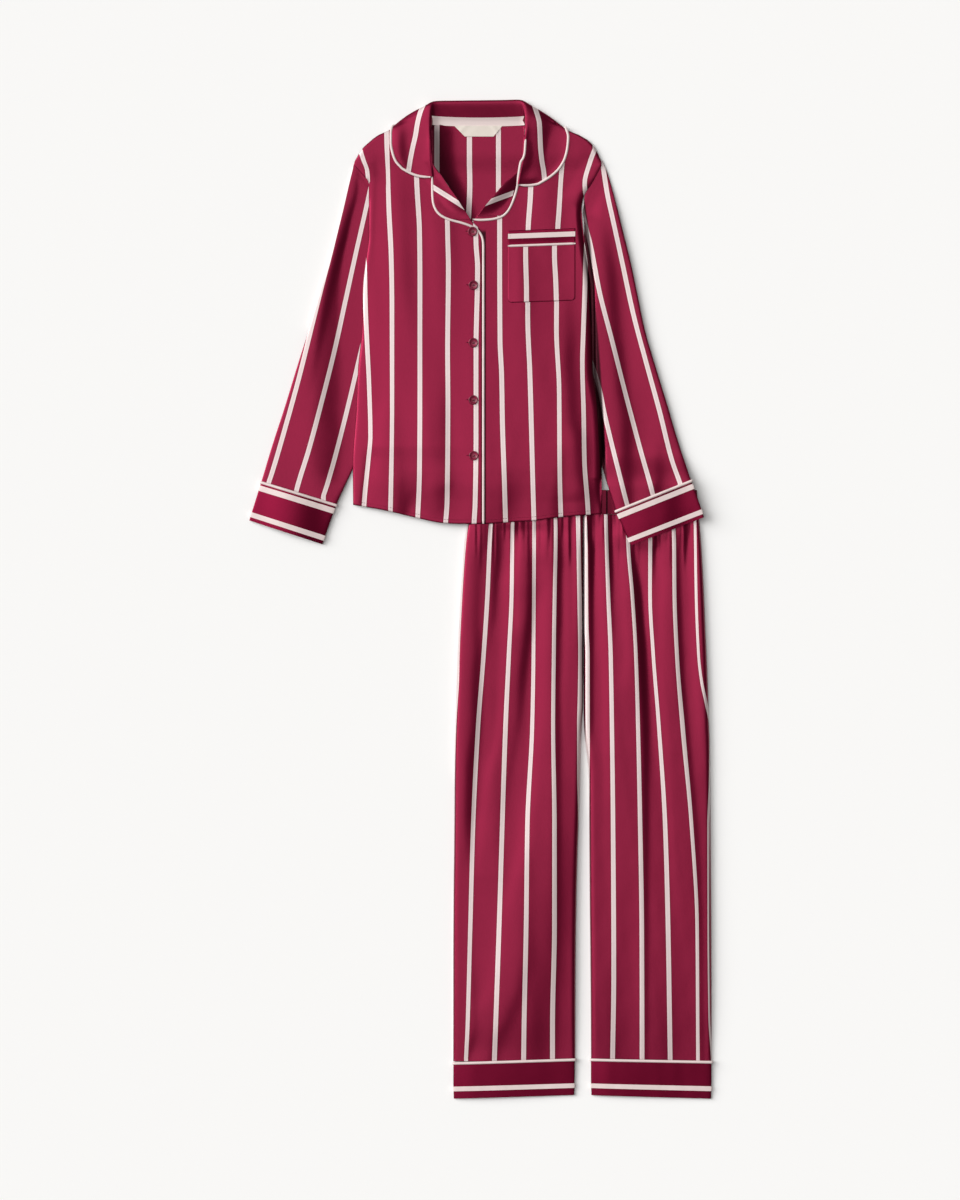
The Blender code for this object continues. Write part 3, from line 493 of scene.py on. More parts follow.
zones = {        # where a rise or fall of the layers starts and ends, in millimetres
    "trousersAcross": (-72, 18), "shoulderFoot": (496, 508), "shoulderHead": (546, 554),
    "steepFoot": (110, 150), "steepHead": (480, 500), "trousersUp": (140, 190), "sleeveHead": (478, 546),
    "sleeveFoot": (128, 160), "sleeveIn": (20, 42), "collarFoot": (530, 560), "frontUp": (140, 430),
    "frontIn": (0, 165), "frontHead": (465, 560), "rollFoot": (477, 500), "rollHead": (570, 592),
    "lapAcross": (-130, 0), "lapUp": (476, 506), "crotchFoot": (-120, -60), "crotchHead": (50, 90),
    "besideFoot": (150, 168)}

bodyOutline = [      # height up the shirt, left edge, right edge
    (610, -60, 54), (600, -86, 80), (592, -106, 101), (588, -112, 107.5), (584.5, -119, 115),
    (581, -127, 123.5), (572.5, -138, 137), (564, -147, 144), (555, -152.8, 148.4), (545, -157.2, 152.0),
    (534, -149, 147), (521, -139, 140), (505, -139, 130), (489, -139, 127), (456, -139, 129.5),
    (425, -142.5, 134), (390, -146, 139), (337.5, -147.5, 140), (287.5, -152.5, 141), (232.5, -155, 149.5),
    (172.5, -159, 152), (95, -158.5, 152)]
bodyLeft, bodyRight = edgesOf(bodyOutline)
bodyLoftAt = curveThrough([(610, 0.2), (560, 0.6), (500, 2.0), (400, 3.2), (250, 3.2), (150, 2.4), (95, 1.6)])
hemLine = curveThrough([(-159, 119), (-114.5, 111), (-81, 103), (-45.5, 96), (-25, 95), (5, 95), (35, 97),
                        (67.5, 99), (97, 103), (125, 105.5), (152, 107.5)])
placketEdge, underlapEdge, hemLowest = 2.5, -17.5, 95.0
rightNeck = curveThrough([(610, -60), (549, -59.5), (542.5, -57), (530, -48.5), (505, -31), (489, -20.5),
                          (472.5, -9.5), (462.5, 0), (456, placketEdge), (95, placketEdge)])
leftNeck = curveThrough([(610, 55), (546, 52), (517.5, 27.5), (492.5, 6.5), (475, -8), (467.5, -14),
                         (456, underlapEdge), (95, underlapEdge)])
shirtFolds = [
    (4, [(192, -142.5, 0), (176, -143.5, -0.1), (150, -145.8, -0.17), (128, -147.4, -0.24),
     (112, -148.4, -0.27)]),
    (9, [(160, -98, 0), (130, -99, -0.05), (105, -99, -0.08)]),
    (9, [(560, -124, 0), (500, -121, 0.02), (440, -120, 0.02), (380, -118, 0.03), (320, -118, 0.05),
     (260, -118, 0.08), (220, -126, 0.13), (180, -130, 0.17), (150, -136, 0.16), (120, -140, 0.13),
     (95, -140, 0.1)]),
    (3, [(560, -132, 0), (530, -131, -0.05), (500, -132, -0.09), (460, -134, -0.1), (420, -137, -0.07),
     (380, -140, -0.05), (300, -140, -0.04), (220, -146, 0)]),
    (8, [(200, -80, 0), (160, -78, -0.02), (140, -82, -0.03), (120, -89, -0.05), (95, -90, -0.08)]),
    (7, [(190, -66, 0), (160, -60, 0.03), (130, -69, 0.05), (95, -70, 0.06)]),
    (9, [(280, -42, 0), (220, -44, -0.05), (180, -44, -0.05), (150, -38, -0.06), (130, -45, -0.06),
     (95, -46, -0.03)]),
    (8, [(185, -14, 0), (160, -12, 0.06), (130, -14, 0.06), (95, -20, 0.04)]),
    (9, [(400, 110, 0), (340, 112, -0.07), (300, 112, -0.1), (260, 114, -0.1), (220, 118, -0.1),
     (200, 124, -0.1), (160, 126, -0.11), (120, 138, -0.1), (95, 138, -0.06)]),
    (9, [(185, 32, 0), (160, 34, -0.03), (130, 35, -0.07), (110, 31, -0.07), (95, 31, -0.05)]),
    (7, [(165, 58, 0), (130, 59, 0.03), (95, 58, 0.06)]),
    (6, [(200, 102, 0), (180, 102, -0.05), (150, 98, -0.07), (112, 96, -0.08), (95, 96, -0.09)]),
    (5, [(145, 112, 0), (112, 115, 0.05), (95, 116, 0.05)]),
    (14, [(470, 62, 0), (440, 62, -0.03), (380, 62, -0.04), (320, 62, -0.02), (260, 62, 0)])]


def overTrousers(x, y):
    return layers["overTrousers"] * smoothStep(x, *zones["trousersAcross"]) * fade(y, *zones["trousersUp"])


def overSleeve(x, y):
    along = fade(y, *zones["sleeveHead"]) * smoothStep(y, *zones["sleeveFoot"])
    return layers["overSleeve"] * fade(x - bodyLeft(y), *zones["sleeveIn"]) * along


def backBottom(x, y):
    return overTrousers(x, y) + overSleeve(x, y) + layers["overCollar"] * smoothStep(y, *zones["collarFoot"])


def frontRide(x, y):        # the fronts rise and fall more gently than what they lie on
    share = np.clip((x + 159) / 170, 0.0, 1.0)
    climb = 0.6 * share + 0.4 * smoothStep(share, 0, 1)
    trousers = layers["overTrousers"] * climb * fade(y, *zones["frontUp"])
    sleeve = layers["overSleeve"] * fade(x - bodyLeft(y), *zones["frontIn"]) * fade(y, *zones["frontHead"])
    return trousers + sleeve + layers["overCollar"] * smoothStep(y, *zones["collarFoot"])


def bodyLoft(x, y):
    middle, half = 0.5 * (bodyLeft(y) + bodyRight(y)), 0.5 * (bodyRight(y) - bodyLeft(y))
    amount = (x - middle) / half
    plump = np.where(amount > 0, 4 + 38 * smoothStep(y, 120, 170) * fade(y, 490, 540), 9)
    plump = np.where((amount > 0) & (y > 150) & (y < 490), 120, plump)
    across = np.maximum(0.0, 1.0 - np.abs(amount) ** plump)
    wander = 0.25 * unevenness(x, y * 0.25, 60, 3) * across
    folds = levelFolds(shirtFolds, x, y, bodyLeft(y), bodyRight(y))
    return aboveZero((bodyLoftAt(y) + wander) * across + folds) - 0.1


def neckRoll(x, y, edge):
    near = fade(np.abs(x - edge(y)), 0, 24)
    return layers["neckRoll"] * near * smoothStep(y, *zones["rollFoot"]) * fade(y, *zones["rollHead"])


def overShoulder(x, y):     # the body's edge rides over the head of each sleeve
    fromSide = np.minimum(x - bodyLeft(y), bodyRight(y) - x)
    level = np.where(x < 0, 0.8 * smoothStep(y, 515, 535), 1.6 * smoothStep(y, 488, 512)) * fade(y, 542, 552)
    return level * fade(fromSide, 1, 30)


def frontSurface(x, y, neck, lap=0.0):
    flat = frontRide(x, y) + 2 * layers["cloth"] + layers["gap"] + bodyLoft(x, y)
    return flat + lap + neckRoll(x, y, neck) + overShoulder(x, y)


def leftFrontTop(x, y):
    return frontSurface(x, y, leftNeck)


def rightFrontTop(x, y):
    lap = layers["placket"] * smoothStep(x, *zones["lapAcross"]) * fade(y, *zones["lapUp"])
    return frontSurface(x, y, rightNeck, lap)


def hemBend(x, y):
    return (hemLine(x) - hemLowest) * fade(y, hemLowest, hemLowest + 90)


# the shirt's back and fronts

shirtCloth = {"wall": 1.0, "sideTurn": 4.0, "hemTurn": 1.8, "frontEdgeTurn": 1.6, "spacing": 2.3, "rows": 2.4,
              "backSpacing": 4.0, "top": 592, "grain": (0.05, 26), "sideFall": 1.9, "edgeFall": 0.5,
              "steepFall": 3.6, "steepReach": 5.6, "steepLeast": 2.15}
backStripes = [[(612, -54), (500, -54)], [(612, -13), (550, -13), (520, -12.5), (472, -14.5)],
               [(612, 23), (500, 23)]]
rightStripes = [
    [(565, -150.5), (550, -145.5), (536, -140.5), (524, -139.5), (512.5, -145.5), (462.5, -147.5),
     (435, -145.5), (415, -144), (370, -143), (325, -141), (265, -138), (205, -136.4), (177, -138.8),
     (155, -141.2), (132, -143.6), (100, -146)],
    [(587.5, -117), (520, -115), (490, -114), (430, -111), (370, -110), (250, -110), (190, -110.5),
     (100, -112)],
    [(587.5, -81), (520, -79), (460, -75.5), (400, -75), (250, -75), (160, -75.5), (100, -78)],
    [(587.5, -42.5), (460, -40.5), (415, -39.5), (310, -40.5), (250, -40), (125, -41), (95, -43)],
    [(587.5, -7.5), (445, -5), (415, -3), (310, -5), (205, -5), (125, -6), (95, -7.5)]]
leftStripes = [
    [(562.5, 24.5), (460, 24.5), (325, 25), (280, 27), (220, 28), (145, 30.5), (95, 32)],
    [(562.5, 65), (505, 63), (460, 60), (355, 59.5), (287.5, 62), (220, 64), (145, 66), (95, 67.5)],
    [(562.5, 104), (520, 101), (490, 99), (460, 97), (337.5, 95.5), (262.5, 99), (160, 99.5), (95, 101)],
    [(564, 144), (547.5, 137.5), (520, 130.5), (510, 131.2), (500, 133.4), (480, 134.4), (458, 134.6),
     (444, 133.4), (422.5, 132), (387.5, 131), (337.5, 129), (294, 127.5), (235, 129), (175, 130),
     (115, 134.5), (95, 135.5)]]


def rowHeights(top, bottom, spacing):
    share = edgeShares(top - bottom, spacing)
    return top - share * (top - bottom)


insideSlope = {"slope": 0.26, "widest": 25,
               "endsAt": [(600, -36), (575, -35), (545, -33), (515, -22), (490, -10), (470, -4)]}


def insideNeck(x, y):       # the back lifts towards the right front, where the shirt stands open
    look = insideSlope
    ends = curveThrough(look["endsAt"])(y)
    window = smoothStep(x, rightNeck(y) - 10, rightNeck(y) - 3) * smoothStep(y, 462, 480) * fade(y, 585, 598)
    return look["slope"] * np.minimum(aboveZero(ends - x, 5), look["widest"]) * window


def neckPaintedShade(finish, x, y):       # painted shade towards the right front, down inside the open neck
    end = -36.0 + 0.25 * (575.0 - y)
    return (finish.step(x - end, -20.0, 1.0, 0.66, 0.0) * finish.step(y, 583.0, 596.0, 1.0, 0.35))


insidePaintedShadeSatin = satinFinish("insidePaintedShadeSatin", True, neckPaintedShade)


def backRight(y):       # the left sleeve lies beside the back, under the edge of the front
    return bodyRight(y) - 5.6 * smoothStep(y, 140, 185) * fade(y, 440, 470)


def makeBack():
    look = shirtCloth
    lower = 480 - edgeShares(385, 5.0)[3:] * 385        # wider rows where the fronts hide it
    heights = np.concatenate([rowHeights(600, 480, look["rows"])[:-3], lower])
    x, y = panelPlaces(bodyLeft, backRight, heights, edgeShares(300, look["backSpacing"]), hemBend)
    top = backBottom(x, y) + layers["lying"] + insideNeck(x, y)
    back = layCloth("shirtBack", x, y, top, look["wall"], insidePaintedShadeSatin, stripePlace(backStripes, x, y))
    return settle(back, "satin", "shirt_back")


sideHeights = np.linspace(120, 500, 39)
sideBend = [float(value) for value in np.polyfit(sideHeights, bodyRight(sideHeights), 3)]


def nearSide(y):        # the body's right edge as a polynomial, which a finish can work out
    return sideBend[3] + y * (sideBend[2] + y * (sideBend[1] + y * sideBend[0]))


def frontPaintedShade(finish, x, y):      # painted shadow along the overlap of the fronts, and painted shade where the side turns under
    overlapPaintedShadow = finish.step(x, 6.5, 8.2, 0.92, 0.0) * finish.step(y, 458.0, 464.0, 1.0, 0.0)
    turnedUnderPaintedShade = finish.step(x - nearSide(y), -2.6, -0.8, 0.0, 0.85)
    return overlapPaintedShadow + turnedUnderPaintedShade * finish.step(y, 130.0, 180.0) * finish.step(y, 400.0, 450.0, 1.0, 0.0)


leftFrontPaintedShadeSatin = satinFinish("leftFrontPaintedShadeSatin", True, frontPaintedShade)


def rimPaintedShade(finish, x, y):      # painted shade where the other side turns under, beside the right sleeve
    rimShade = finish.step(x, -139.4, -137.4, 0.7, 0.0)
    return rimShade * finish.step(y, 440.0, 458.0) * finish.step(y, 518.0, 532.0, 1.0, 0.0)


rightFrontPaintedShadeSatin = satinFinish("rightFrontPaintedShadeSatin", True, rimPaintedShade)


def makeFront(side, left, right, surface, stripes, satin, seed):
    look = shirtCloth
    heights = rowHeights(look["top"], hemLowest, look["rows"])
    x, y = panelPlaces(left, right, heights, edgeShares(panelWidth, look["spacing"]), hemBend)
    amount, size = look["grain"]
    top = surface(x, y) + amount * unevenness(x, y * 0.3, size, seed)
    fromSide, fromOpening = x - left(y), right(y) - x
    if side == "left":
        fromSide, fromOpening = fromOpening, fromSide
    shoulder = smoothStep(y, *zones["shoulderFoot"]) * fade(y, *zones["shoulderHead"])
    steep = smoothStep(y, *zones["steepFoot"]) * fade(y, *zones["steepHead"]) if side == "left" else 0.0
    top = top - roundedFall(fromSide, look["sideTurn"], look["sideFall"]) * (1 - 0.8 * shoulder) * (1 - steep)
    fall = look["steepFall"] * aboveZero(1 - fromSide / look["steepReach"], 0.12) * steep
    top = np.maximum(top - fall, np.minimum(top, look["steepLeast"] + overTrousers(x, y)))
    top = (top - roundedFall(fromOpening, look["frontEdgeTurn"], look["edgeFall"])
           - roundedFall(y - hemLine(x), look["hemTurn"], look["edgeFall"]))
    front = layCloth(f"shirtFront{side.title()}", x, y, top, look["wall"], satin, stripePlace(stripes, x, y))
    return settle(front, "satin", f"shirt_front_{side}")


shirtBack = makeBack()
shirtFrontRight = makeFront("right", bodyLeft, rightNeck, rightFrontTop, rightStripes, rightFrontPaintedShadeSatin, 11)
shirtFrontLeft = makeFront("left", leftNeck, bodyRight, leftFrontTop, leftStripes, leftFrontPaintedShadeSatin, 12)
print("shirt body made")


# collar

collarShape = {"wall": 1.15, "pipingRadius": 1.65, "stand": 12, "leaf": 34, "places": 230, "rounding": 9,
               "rightRows": 5.5, "leftRows": 14.5, "seamClear": 0.6, "clear": 0.95, "backStarts": 594,
               "pipingReach": 1.7}
collarTable = [      # seam x y z, roll x y z, edge x y z, drop, bow
    (-58.2, 528.5, 6.0, -59.2, 529.0, 8.6, -98.0, 540.0, 6.6, 0.7, 3.4),
    (-59.0, 537.0, 6.4, -60.3, 538.0, 9.4, -106.0, 549.0, 6.8, 0.7, 2.2),
    (-59.8, 550.0, 6.9, -61.2, 551.5, 10.2, -110.0, 559.5, 7.2, 0.7, 1.0),
    (-60.4, 566.0, 7.2, -61.8, 567.0, 11.0, -112.0, 571.5, 7.5, 0.7, 0.0),
    (-60.4, 582.0, 6.8, -62.0, 584.0, 11.2, -112.0, 582.5, 7.2, 0.7, 0.0),
    (-59.8, 591.5, 5.8, -61.8, 598.5, 11.0, -111.0, 588.6, 6.6, 0.9, -1.0),
    (-58.4, 597.5, 4.8, -60.6, 617.5, 10.4, -109.0, 591.0, 3.6, 2.2, -3.6),
    (-55.4, 599.8, 4.0, -57.8, 624.0, 9.6, -100.0, 585.0, 0.66, 6.0, -1.5),
    (-46.0, 600.6, 3.9, -50.0, 626.0, 9.1, -74.0, 573.5, 0.66, 10.0, 0.0),
    (-30.0, 600.8, 3.9, -31.0, 626.4, 9.0, -38.0, 570.0, 0.66, 12.0, 0.0),
    (-1.0, 600.8, 3.9, -1.0, 626.8, 9.0, -1.0, 569.0, 0.66, 12.0, 0.0),
    (28.0, 600.8, 3.9, 27.0, 627.2, 9.0, 36.0, 570.0, 0.66, 12.0, 0.0),
    (42.0, 600.6, 3.9, 43.0, 627.6, 9.1, 70.0, 573.5, 0.66, 10.0, 0.0),
    (51.2, 599.8, 4.0, 49.6, 626.4, 9.6, 98.0, 583.5, 0.66, 6.0, 1.0),
    (54.6, 597.5, 4.8, 53.6, 621.0, 10.2, 106.5, 588.4, 3.6, 2.2, 2.6),
    (56.6, 591.5, 5.8, 56.6, 605.0, 10.4, 108.8, 585.4, 6.4, 1.4, 1.0),
    (57.2, 582.0, 6.8, 56.6, 590.4, 10.4, 110.8, 577.5, 7.0, 1.2, 0.0),
    (55.6, 566.0, 7.2, 54.6, 570.6, 10.0, 110.0, 566.5, 7.2, 1.1, 0.0),
    (53.6, 552.0, 6.9, 52.8, 554.6, 9.6, 107.0, 553.0, 6.9, 1.1, -0.5),
    (51.2, 538.0, 6.4, 50.6, 540.6, 9.2, 99.5, 539.5, 6.5, 1.1, -1.0),
    (49.4, 528.0, 6.1, 48.6, 529.3, 8.8, 88.0, 529.0, 6.3, 1.1, -1.0),
    (48.0, 519.0, 6.0, 47.2, 519.4, 8.4, 74.0, 520.6, 6.2, 1.1, -1.2)]
collarStripes = [
    [(627.5, -65), (620, -69), (610, -74), (595, -78), (580, -80.5), (565, -84), (550, -87), (527.5, -90.5)],
    [(627.5, 62.5), (620, 66), (610, 70), (595, 74), (565, 75.5), (550, 77), (535, 79.5), (520, 81)]]


collarFolds = [
    (8, [(600, -98, -0.04), (575, -99, -0.16), (555, -98, -0.18), (540, -94, -0.17), (526, -88, -0.08)]),
    (6, [(592, -70, 0), (575, -70, -0.04), (550, -70, -0.04), (530, -72, -0.04)]),
    (8, [(616, 62, 0), (590, 64, 0.1), (560, 62, 0.11), (530, 60, 0.06), (518, 58, 0)]),
    (7, [(616, 78, 0), (590, 81, -0.1), (560, 82, -0.12), (530, 82, -0.08), (518, 80, 0)]),
    (7, [(600, 98, 0), (575, 98, 0.06), (550, 98, 0.06), (530, 92, 0.03)])]


def frontTop(x, y):
    return np.where(x < 0, rightFrontTop(x, y), leftFrontTop(x, y))


def gridNormals(grid):
    along = np.gradient(grid, axis=0)
    across = np.gradient(grid, axis=1)
    normals = np.cross(along, across)
    return normals / np.maximum(np.linalg.norm(normals, axis=2), 1e-9)[:, :, None]


def collarSurface():
    look = collarShape
    table = np.array(collarTable)
    places = np.linspace(0, len(table) - 1, look["places"])
    rows = np.stack([curveThrough(list(enumerate(table[:, field])))(places) for field in range(11)], axis=-1)
    seam, roll, edge = rows[:, 0:3].copy(), rows[:, 3:6], rows[:, 6:9].copy()
    drop, bow = rows[:, 9][:, None], rows[:, 10][:, None]
    onFront = (places <= look["rightRows"]) | (places >= look["leftRows"])
    least = frontTop(seam[:, 0], seam[:, 1]) + look["seamClear"]
    seam[:, 2] = np.where(onFront, np.maximum(seam[:, 2], least), seam[:, 2])
    outward = edge - roll
    outward[:, 2] = 0
    outward /= np.linalg.norm(outward, axis=1)[:, None]
    edge -= outward * look["pipingReach"]
    stand = np.linspace(0, 1, look["stand"])[None, :-1, None]
    standPoints = seam[:, None, :] + (roll - seam)[:, None, :] * stand
    share = np.linspace(0, 1, look["leaf"])[None, :]
    leaf = roll[:, None, :] + (edge - roll)[:, None, :] * share[:, :, None]
    aside = np.stack([-outward[:, 1], outward[:, 0]], axis=-1)[:, None, :]
    leaf[:, :, :2] += aside * (bow * np.sin(math.pi * share))[:, :, None]
    leaf[:, :, 2] = edge[:, None, 2] + (roll[:, None, 2] - edge[:, None, 2]) * (1 - share) ** drop
    grid = np.concatenate([standPoints, leaf], axis=1)
    for _ in range(look["rounding"]):       # the sharp line of the roll becomes round
        grid[:, 1:-1] = (grid[:, :-2] + 2 * grid[:, 1:-1] + grid[:, 2:]) / 4
    x, y, columns = grid[:, :, 0], grid[:, :, 1], np.arange(grid.shape[1])
    amount = np.sin(math.pi * np.clip((columns - look["stand"]) / look["leaf"], 0, 1)) ** 0.7
    grid[:, :, 2] += foldHeight(collarFolds, x, y) * amount[None, :] * onFront[:, None]
    front = onFront[:, None] & (y < look["backStarts"]) & (columns[None, :] >= look["stand"] - 1)
    clear = frontTop(x, y) + look["clear"]
    grid[:, :, 2] = np.where(front, clear + aboveZero(grid[:, :, 2] - clear), grid[:, :, 2])
    return grid


def makeCollar():
    look = collarShape
    grid = collarSurface()
    normals = gridNormals(grid)
    x, y = grid[:, :, 0], grid[:, :, 1]
    near = [oneStripe(x - line(y)) for line in stripeLines(collarStripes)]
    across = np.where(x < 0, near[0], 1 + near[1])
    places = np.stack([across, alongCloth(x, y)], axis=-1)
    outer, inner = grid + normals * look["wall"] / 2, grid - normals * look["wall"] / 2
    collar = settle(clothShell("collarCloth", outer, inner, places, stripedSatin), "satin", "collar")
    start = look["stand"] + 1
    edge = np.concatenate([grid[0, start:], grid[1:-1, -1], grid[-1, start:][::-1]])
    path = smoothPath(outsideOf(edge, 1.0), 2.2)
    piping = pipingCord("collarPiping", path, look["pipingRadius"], ivoryPiping)
    settle(piping, "ivory_satin", "collar_piping")
    return collar


def outsideOf(path, distance):      # a path moved to its left, seen from above
    along = np.gradient(path, axis=0)
    side = np.stack([-along[:, 1], along[:, 0], np.zeros(len(path))], axis=-1)
    return path + side / np.linalg.norm(side, axis=1)[:, None] * distance


collar = makeCollar()
print("collar made")


# lapels and the piping round them

lapelShape = {"wall": 1.0, "pipingRadius": 1.55, "lift": 0.7}
lapelRight = [
    (533, -54.8, -50.6), (527, -57.8, -46.4), (522, -58.2, -43.2), (516, -58.3, -39.2), (505, -58.2, -31.4),
    (494, -56.8, -24.2), (486, -52.6, -19), (480, -46, -15), (475.5, -36, -12.4)]
lapelLeft = [
    (524, 33, 42), (517.5, 27.7, 43.4), (505, 17.7, 40.8), (492.5, 6.9, 37), (485, 1, 32), (480, -3.2, 25)]
# one stripe crosses each lapel on a slant: where it starts and how it runs
lapelStripe = {"right": ((-58.1, 515), (36.9, -23.8)), "left": ((43.1, 508.8), (-32.5, -12.5))}
edgePath = {
    "right": [(-59.6, 528.4), (-59.5, 518), (-59.4, 508), (-58.7, 498), (-56.7, 490.5), (-52.6, 483.5),
              (-45, 477.8), (-33.7, 473.7), (-22, 470.6), (-11.6, 466.9), (-5, 463.4), (-0.8, 459.4),
              (2.6, 453), (4.0, 446)],
    "left": [(56.8, 603), (57.8, 592), (57.3, 580), (56.5, 569), (55.8, 559), (54.2, 552), (50.8, 546.5),
             (49.2, 538), (47.8, 528), (46.6, 517), (43.5, 505), (38.6, 492.5), (33.4, 484), (25.6, 478.2),
             (12, 475.2), (0, 474.6), (-9.4, 475.4)]}


def makeLapel(side, table, surface):
    look = lapelShape
    heights = rowHeights(table[0][0], table[-1][0], 1.6)
    x, y = panelPlaces(*edgesOf(table), heights, edgeShares(40, 1.6, (0.0, 0.5, 1.2)))
    top = surface(x, y) + 1.2 + look["lift"] + 0.03 * unevenness(x, y, 14, 21)
    start, run = lapelStripe[side]
    run = np.array(run) / math.hypot(*run)
    distance = (x - start[0]) * run[1] - (y - start[1]) * run[0]
    piece = layCloth(f"lapel{side.title()}", x, y, top, look["wall"], stripedSatin, oneStripe(distance))
    return settle(piece, "satin", f"lapel_{side}")


def layEdgePiping(side, x, y, z):
    radius = lapelShape["pipingRadius"]
    cord = pipingCord(f"edgePiping{side.title()}", pointsOf(x, y, z), radius, ivoryPiping)
    settle(cord, "ivory_satin", f"edge_piping_{side}")


def makeEdgePiping():
    down = [(4.2, y + float(hemBend(np.array(4.2), np.array(y)))) for y in range(440, 90, -15)]
    x, y = smoothPath(edgePath["right"] + down + [(4.2, 95.3)], 2.4).T
    overLapel = 1.5 * smoothStep(y, 462, 471)
    layEdgePiping("right", x, y, rightFrontTop(np.minimum(x, 2.4), y) - 0.5 + overLapel)
    x, y = smoothPath(edgePath["left"], 2.4).T
    layEdgePiping("left", x, y, leftFrontTop(x, y) + 0.9)


lapelRightPiece = makeLapel("right", lapelRight, rightFrontTop)
lapelLeftPiece = makeLapel("left", lapelLeft, leftFrontTop)
makeEdgePiping()
print("lapels made")


# neck tape and bare label

neckTrim = {"tape": [(603.4, -60, 59), (592.4, -62, 60)], "label": [(592.6, -32.5, 28), (579, -19, 17)],
            "wall": 0.7, "labelWall": 0.5}      # rows of y, left, right


def makeNeckTrim():
    look = neckTrim
    onBack = layers["overCollar"] + layers["lying"]
    x, y = panelPlaces(*edgesOf(look["tape"]), np.linspace(603.4, 592.4, 9), edgeShares(116, 2.5))
    y = y + 0.00055 * x * x - 1.0
    top = onBack + 0.9 + aboveZero((y - 598.5) * 0.46, 0.8) + 2.6 * smoothStep(np.abs(x), 50, 60)
    tape = layCloth("neckTape", x, y, top, look["wall"], ivoryTape, (y - 598) / clothRepeat)
    settle(tape, "ivory_satin", "neck_tape")
    places = edgeShares(55, 2.0, (0.0, 0.4, 1.0))
    x, y = panelPlaces(*edgesOf(look["label"]), np.linspace(592.6, 579, 12), places)
    fold = (0.5 * np.exp(-((x + 24 - (y - 586) * 0.9) / 3.0) ** 2)
            + 0.5 * np.exp(-((x - 20 + (y - 586) * 0.6) / 3.0) ** 2))
    label = layCloth("neckLabel", x, y, onBack + 1.3 + fold, look["labelWall"], labelWeave, x / clothRepeat)
    settle(label, "ivory_satin", "label")


makeNeckTrim()
print("neck trim made")


# chest pocket

pocketShape = {"left": 34.8, "right": 119.0, "top": 462.6, "bottom": 372.6, "slope": 3.2, "band": 18.5,
               "tapeDrop": 4.2, "tape": 6.2, "corner": 5.0, "lift": 0.5, "wall": 1.0, "turn": 1.1,
               "fall": 0.5, "bandFall": 0.6, "tapeAt": 1.9, "tapeWall": 0.7, "pipingRadius": 1.5,
               "pipingAt": 0.4}
pocketStripes = [
    [(437, 57), (430, 57), (385, 58), (370, 58)],
    [(437, 93), (430, 93), (400, 94.5), (370, 95.5)]]


def pocketPlaces(top, bottom, inset, rounded=0.0):
    look = pocketShape
    heights = rowHeights(top, bottom, 2.2) if top - bottom > 12 else np.linspace(top, bottom, 9)
    width, middle = look["right"] - look["left"], (look["left"] + look["right"]) / 2
    x = look["left"] + inset + edgeShares(width, 2.4)[None, :] * (width - 2 * inset) + 0 * heights[:, None]
    y = heights[:, None] + 0 * x
    if rounded:     # the lower corners draw in
        rise = np.maximum(0.0, 1 - np.maximum(0, y - bottom) / rounded)
        draw = rounded * (1 - np.sqrt(np.maximum(0.0, 1 - rise * rise)))
        x = middle + (x - middle) * (1 - 2 * draw / width)
    return x, y + look["slope"] * (x - middle) / width


def makePocket():
    look = pocketShape
    seam, wall = look["top"] - look["band"], look["wall"]

    def onFront(x, y):
        return leftFrontTop(x, y) + look["lift"] + wall

    x, y = pocketPlaces(seam, look["bottom"], 0, look["corner"])
    edge = np.minimum(np.minimum(x - x[:, :1], x[:, -1:] - x), y - y[-1:, :])
    top = onFront(x, y) - roundedFall(edge, look["turn"], look["fall"]) + 0.03 * unevenness(x, y, 24, 31)
    top = top - 0.6 * fade(x - look["left"], 0, 16)
    pocket = layCloth("pocketPatch", x, y, top, wall, stripedSatin, stripePlace(pocketStripes, x, y))
    settle(pocket, "satin", "pocket")
    x, y = pocketPlaces(look["top"], seam, 0)
    edge = np.minimum(np.minimum(x - x[:, :1], x[:, -1:] - x), y[:1, :] - y)
    top = onFront(x, y) + 0.1 - roundedFall(edge, look["turn"], look["bandFall"])
    top = top + 1.3 * smoothStep(y - y[-1:, :], 1, 12)
    band = layCloth("pocketBand", x, y, top, wall, plainSatin, x / clothRepeat)
    settle(band, "satin", "pocket_band")
    tapeTop = look["top"] - look["tapeDrop"] + 0.2
    x, y = pocketPlaces(tapeTop, tapeTop - look["tape"], 0.2)
    top = onFront(x, y) + look["tapeAt"]
    tape = layCloth("pocketTape", x, y, top, look["tapeWall"], ivoryTape, (y - y.mean()) / clothRepeat)
    settle(tape, "ivory_satin", "pocket_tape")
    for end, column in (("Right", 4), ("Left", -5)):
        points = pointsOf(x[:, column], y[:, column], top[:, column] + 0.05)[1:-1]
        settle(stitchRow(f"pocketStitches{end}", points, plainSatin, 1.0, 0.3, 0.14), "satin")
    x = np.linspace(look["left"] - 0.2, look["right"] + 0.2, 60)
    y = seam - 0.6 + look["slope"] * (x - (look["left"] + look["right"]) / 2) / (look["right"] - look["left"])
    points = pointsOf(x, y, onFront(x, y) + look["pipingAt"])
    piping = pipingCord("pocketPiping", points, look["pipingRadius"], ivoryPiping)
    settle(piping, "ivory_satin", "pocket_piping")
    return pocket, band


pocket, pocketBand = makePocket()
print("pocket made")


# buttons

buttonShape = {"profile": [(0.0, 0.9), (1.6, 0.95), (3.1, 1.1), (3.9, 1.5), (4.5, 2.2), (5.0, 2.4),
               (5.55, 2.2), (5.95, 1.5), (5.8, 0.7), (4.8, 0.2), (0.0, 0.0)], "sides": 40,
               "clear": 0.25, "restsWithin": 5, "thread": (1.7, 0.9, 1.05), "holeAt": (-9.0, -7.0, -4.6),
               "places": [(-9.5, 460), (-8.5, 393), (-8.5, 321), (-8.5, 249.5), (-8, 180)]}


def threadDarkness(finish, x, y):
    return finish.step(x, -400.0, -390.0, 0.0, 0.55)


insideThread = satinFinish("buttonThread", False, threadDarkness)


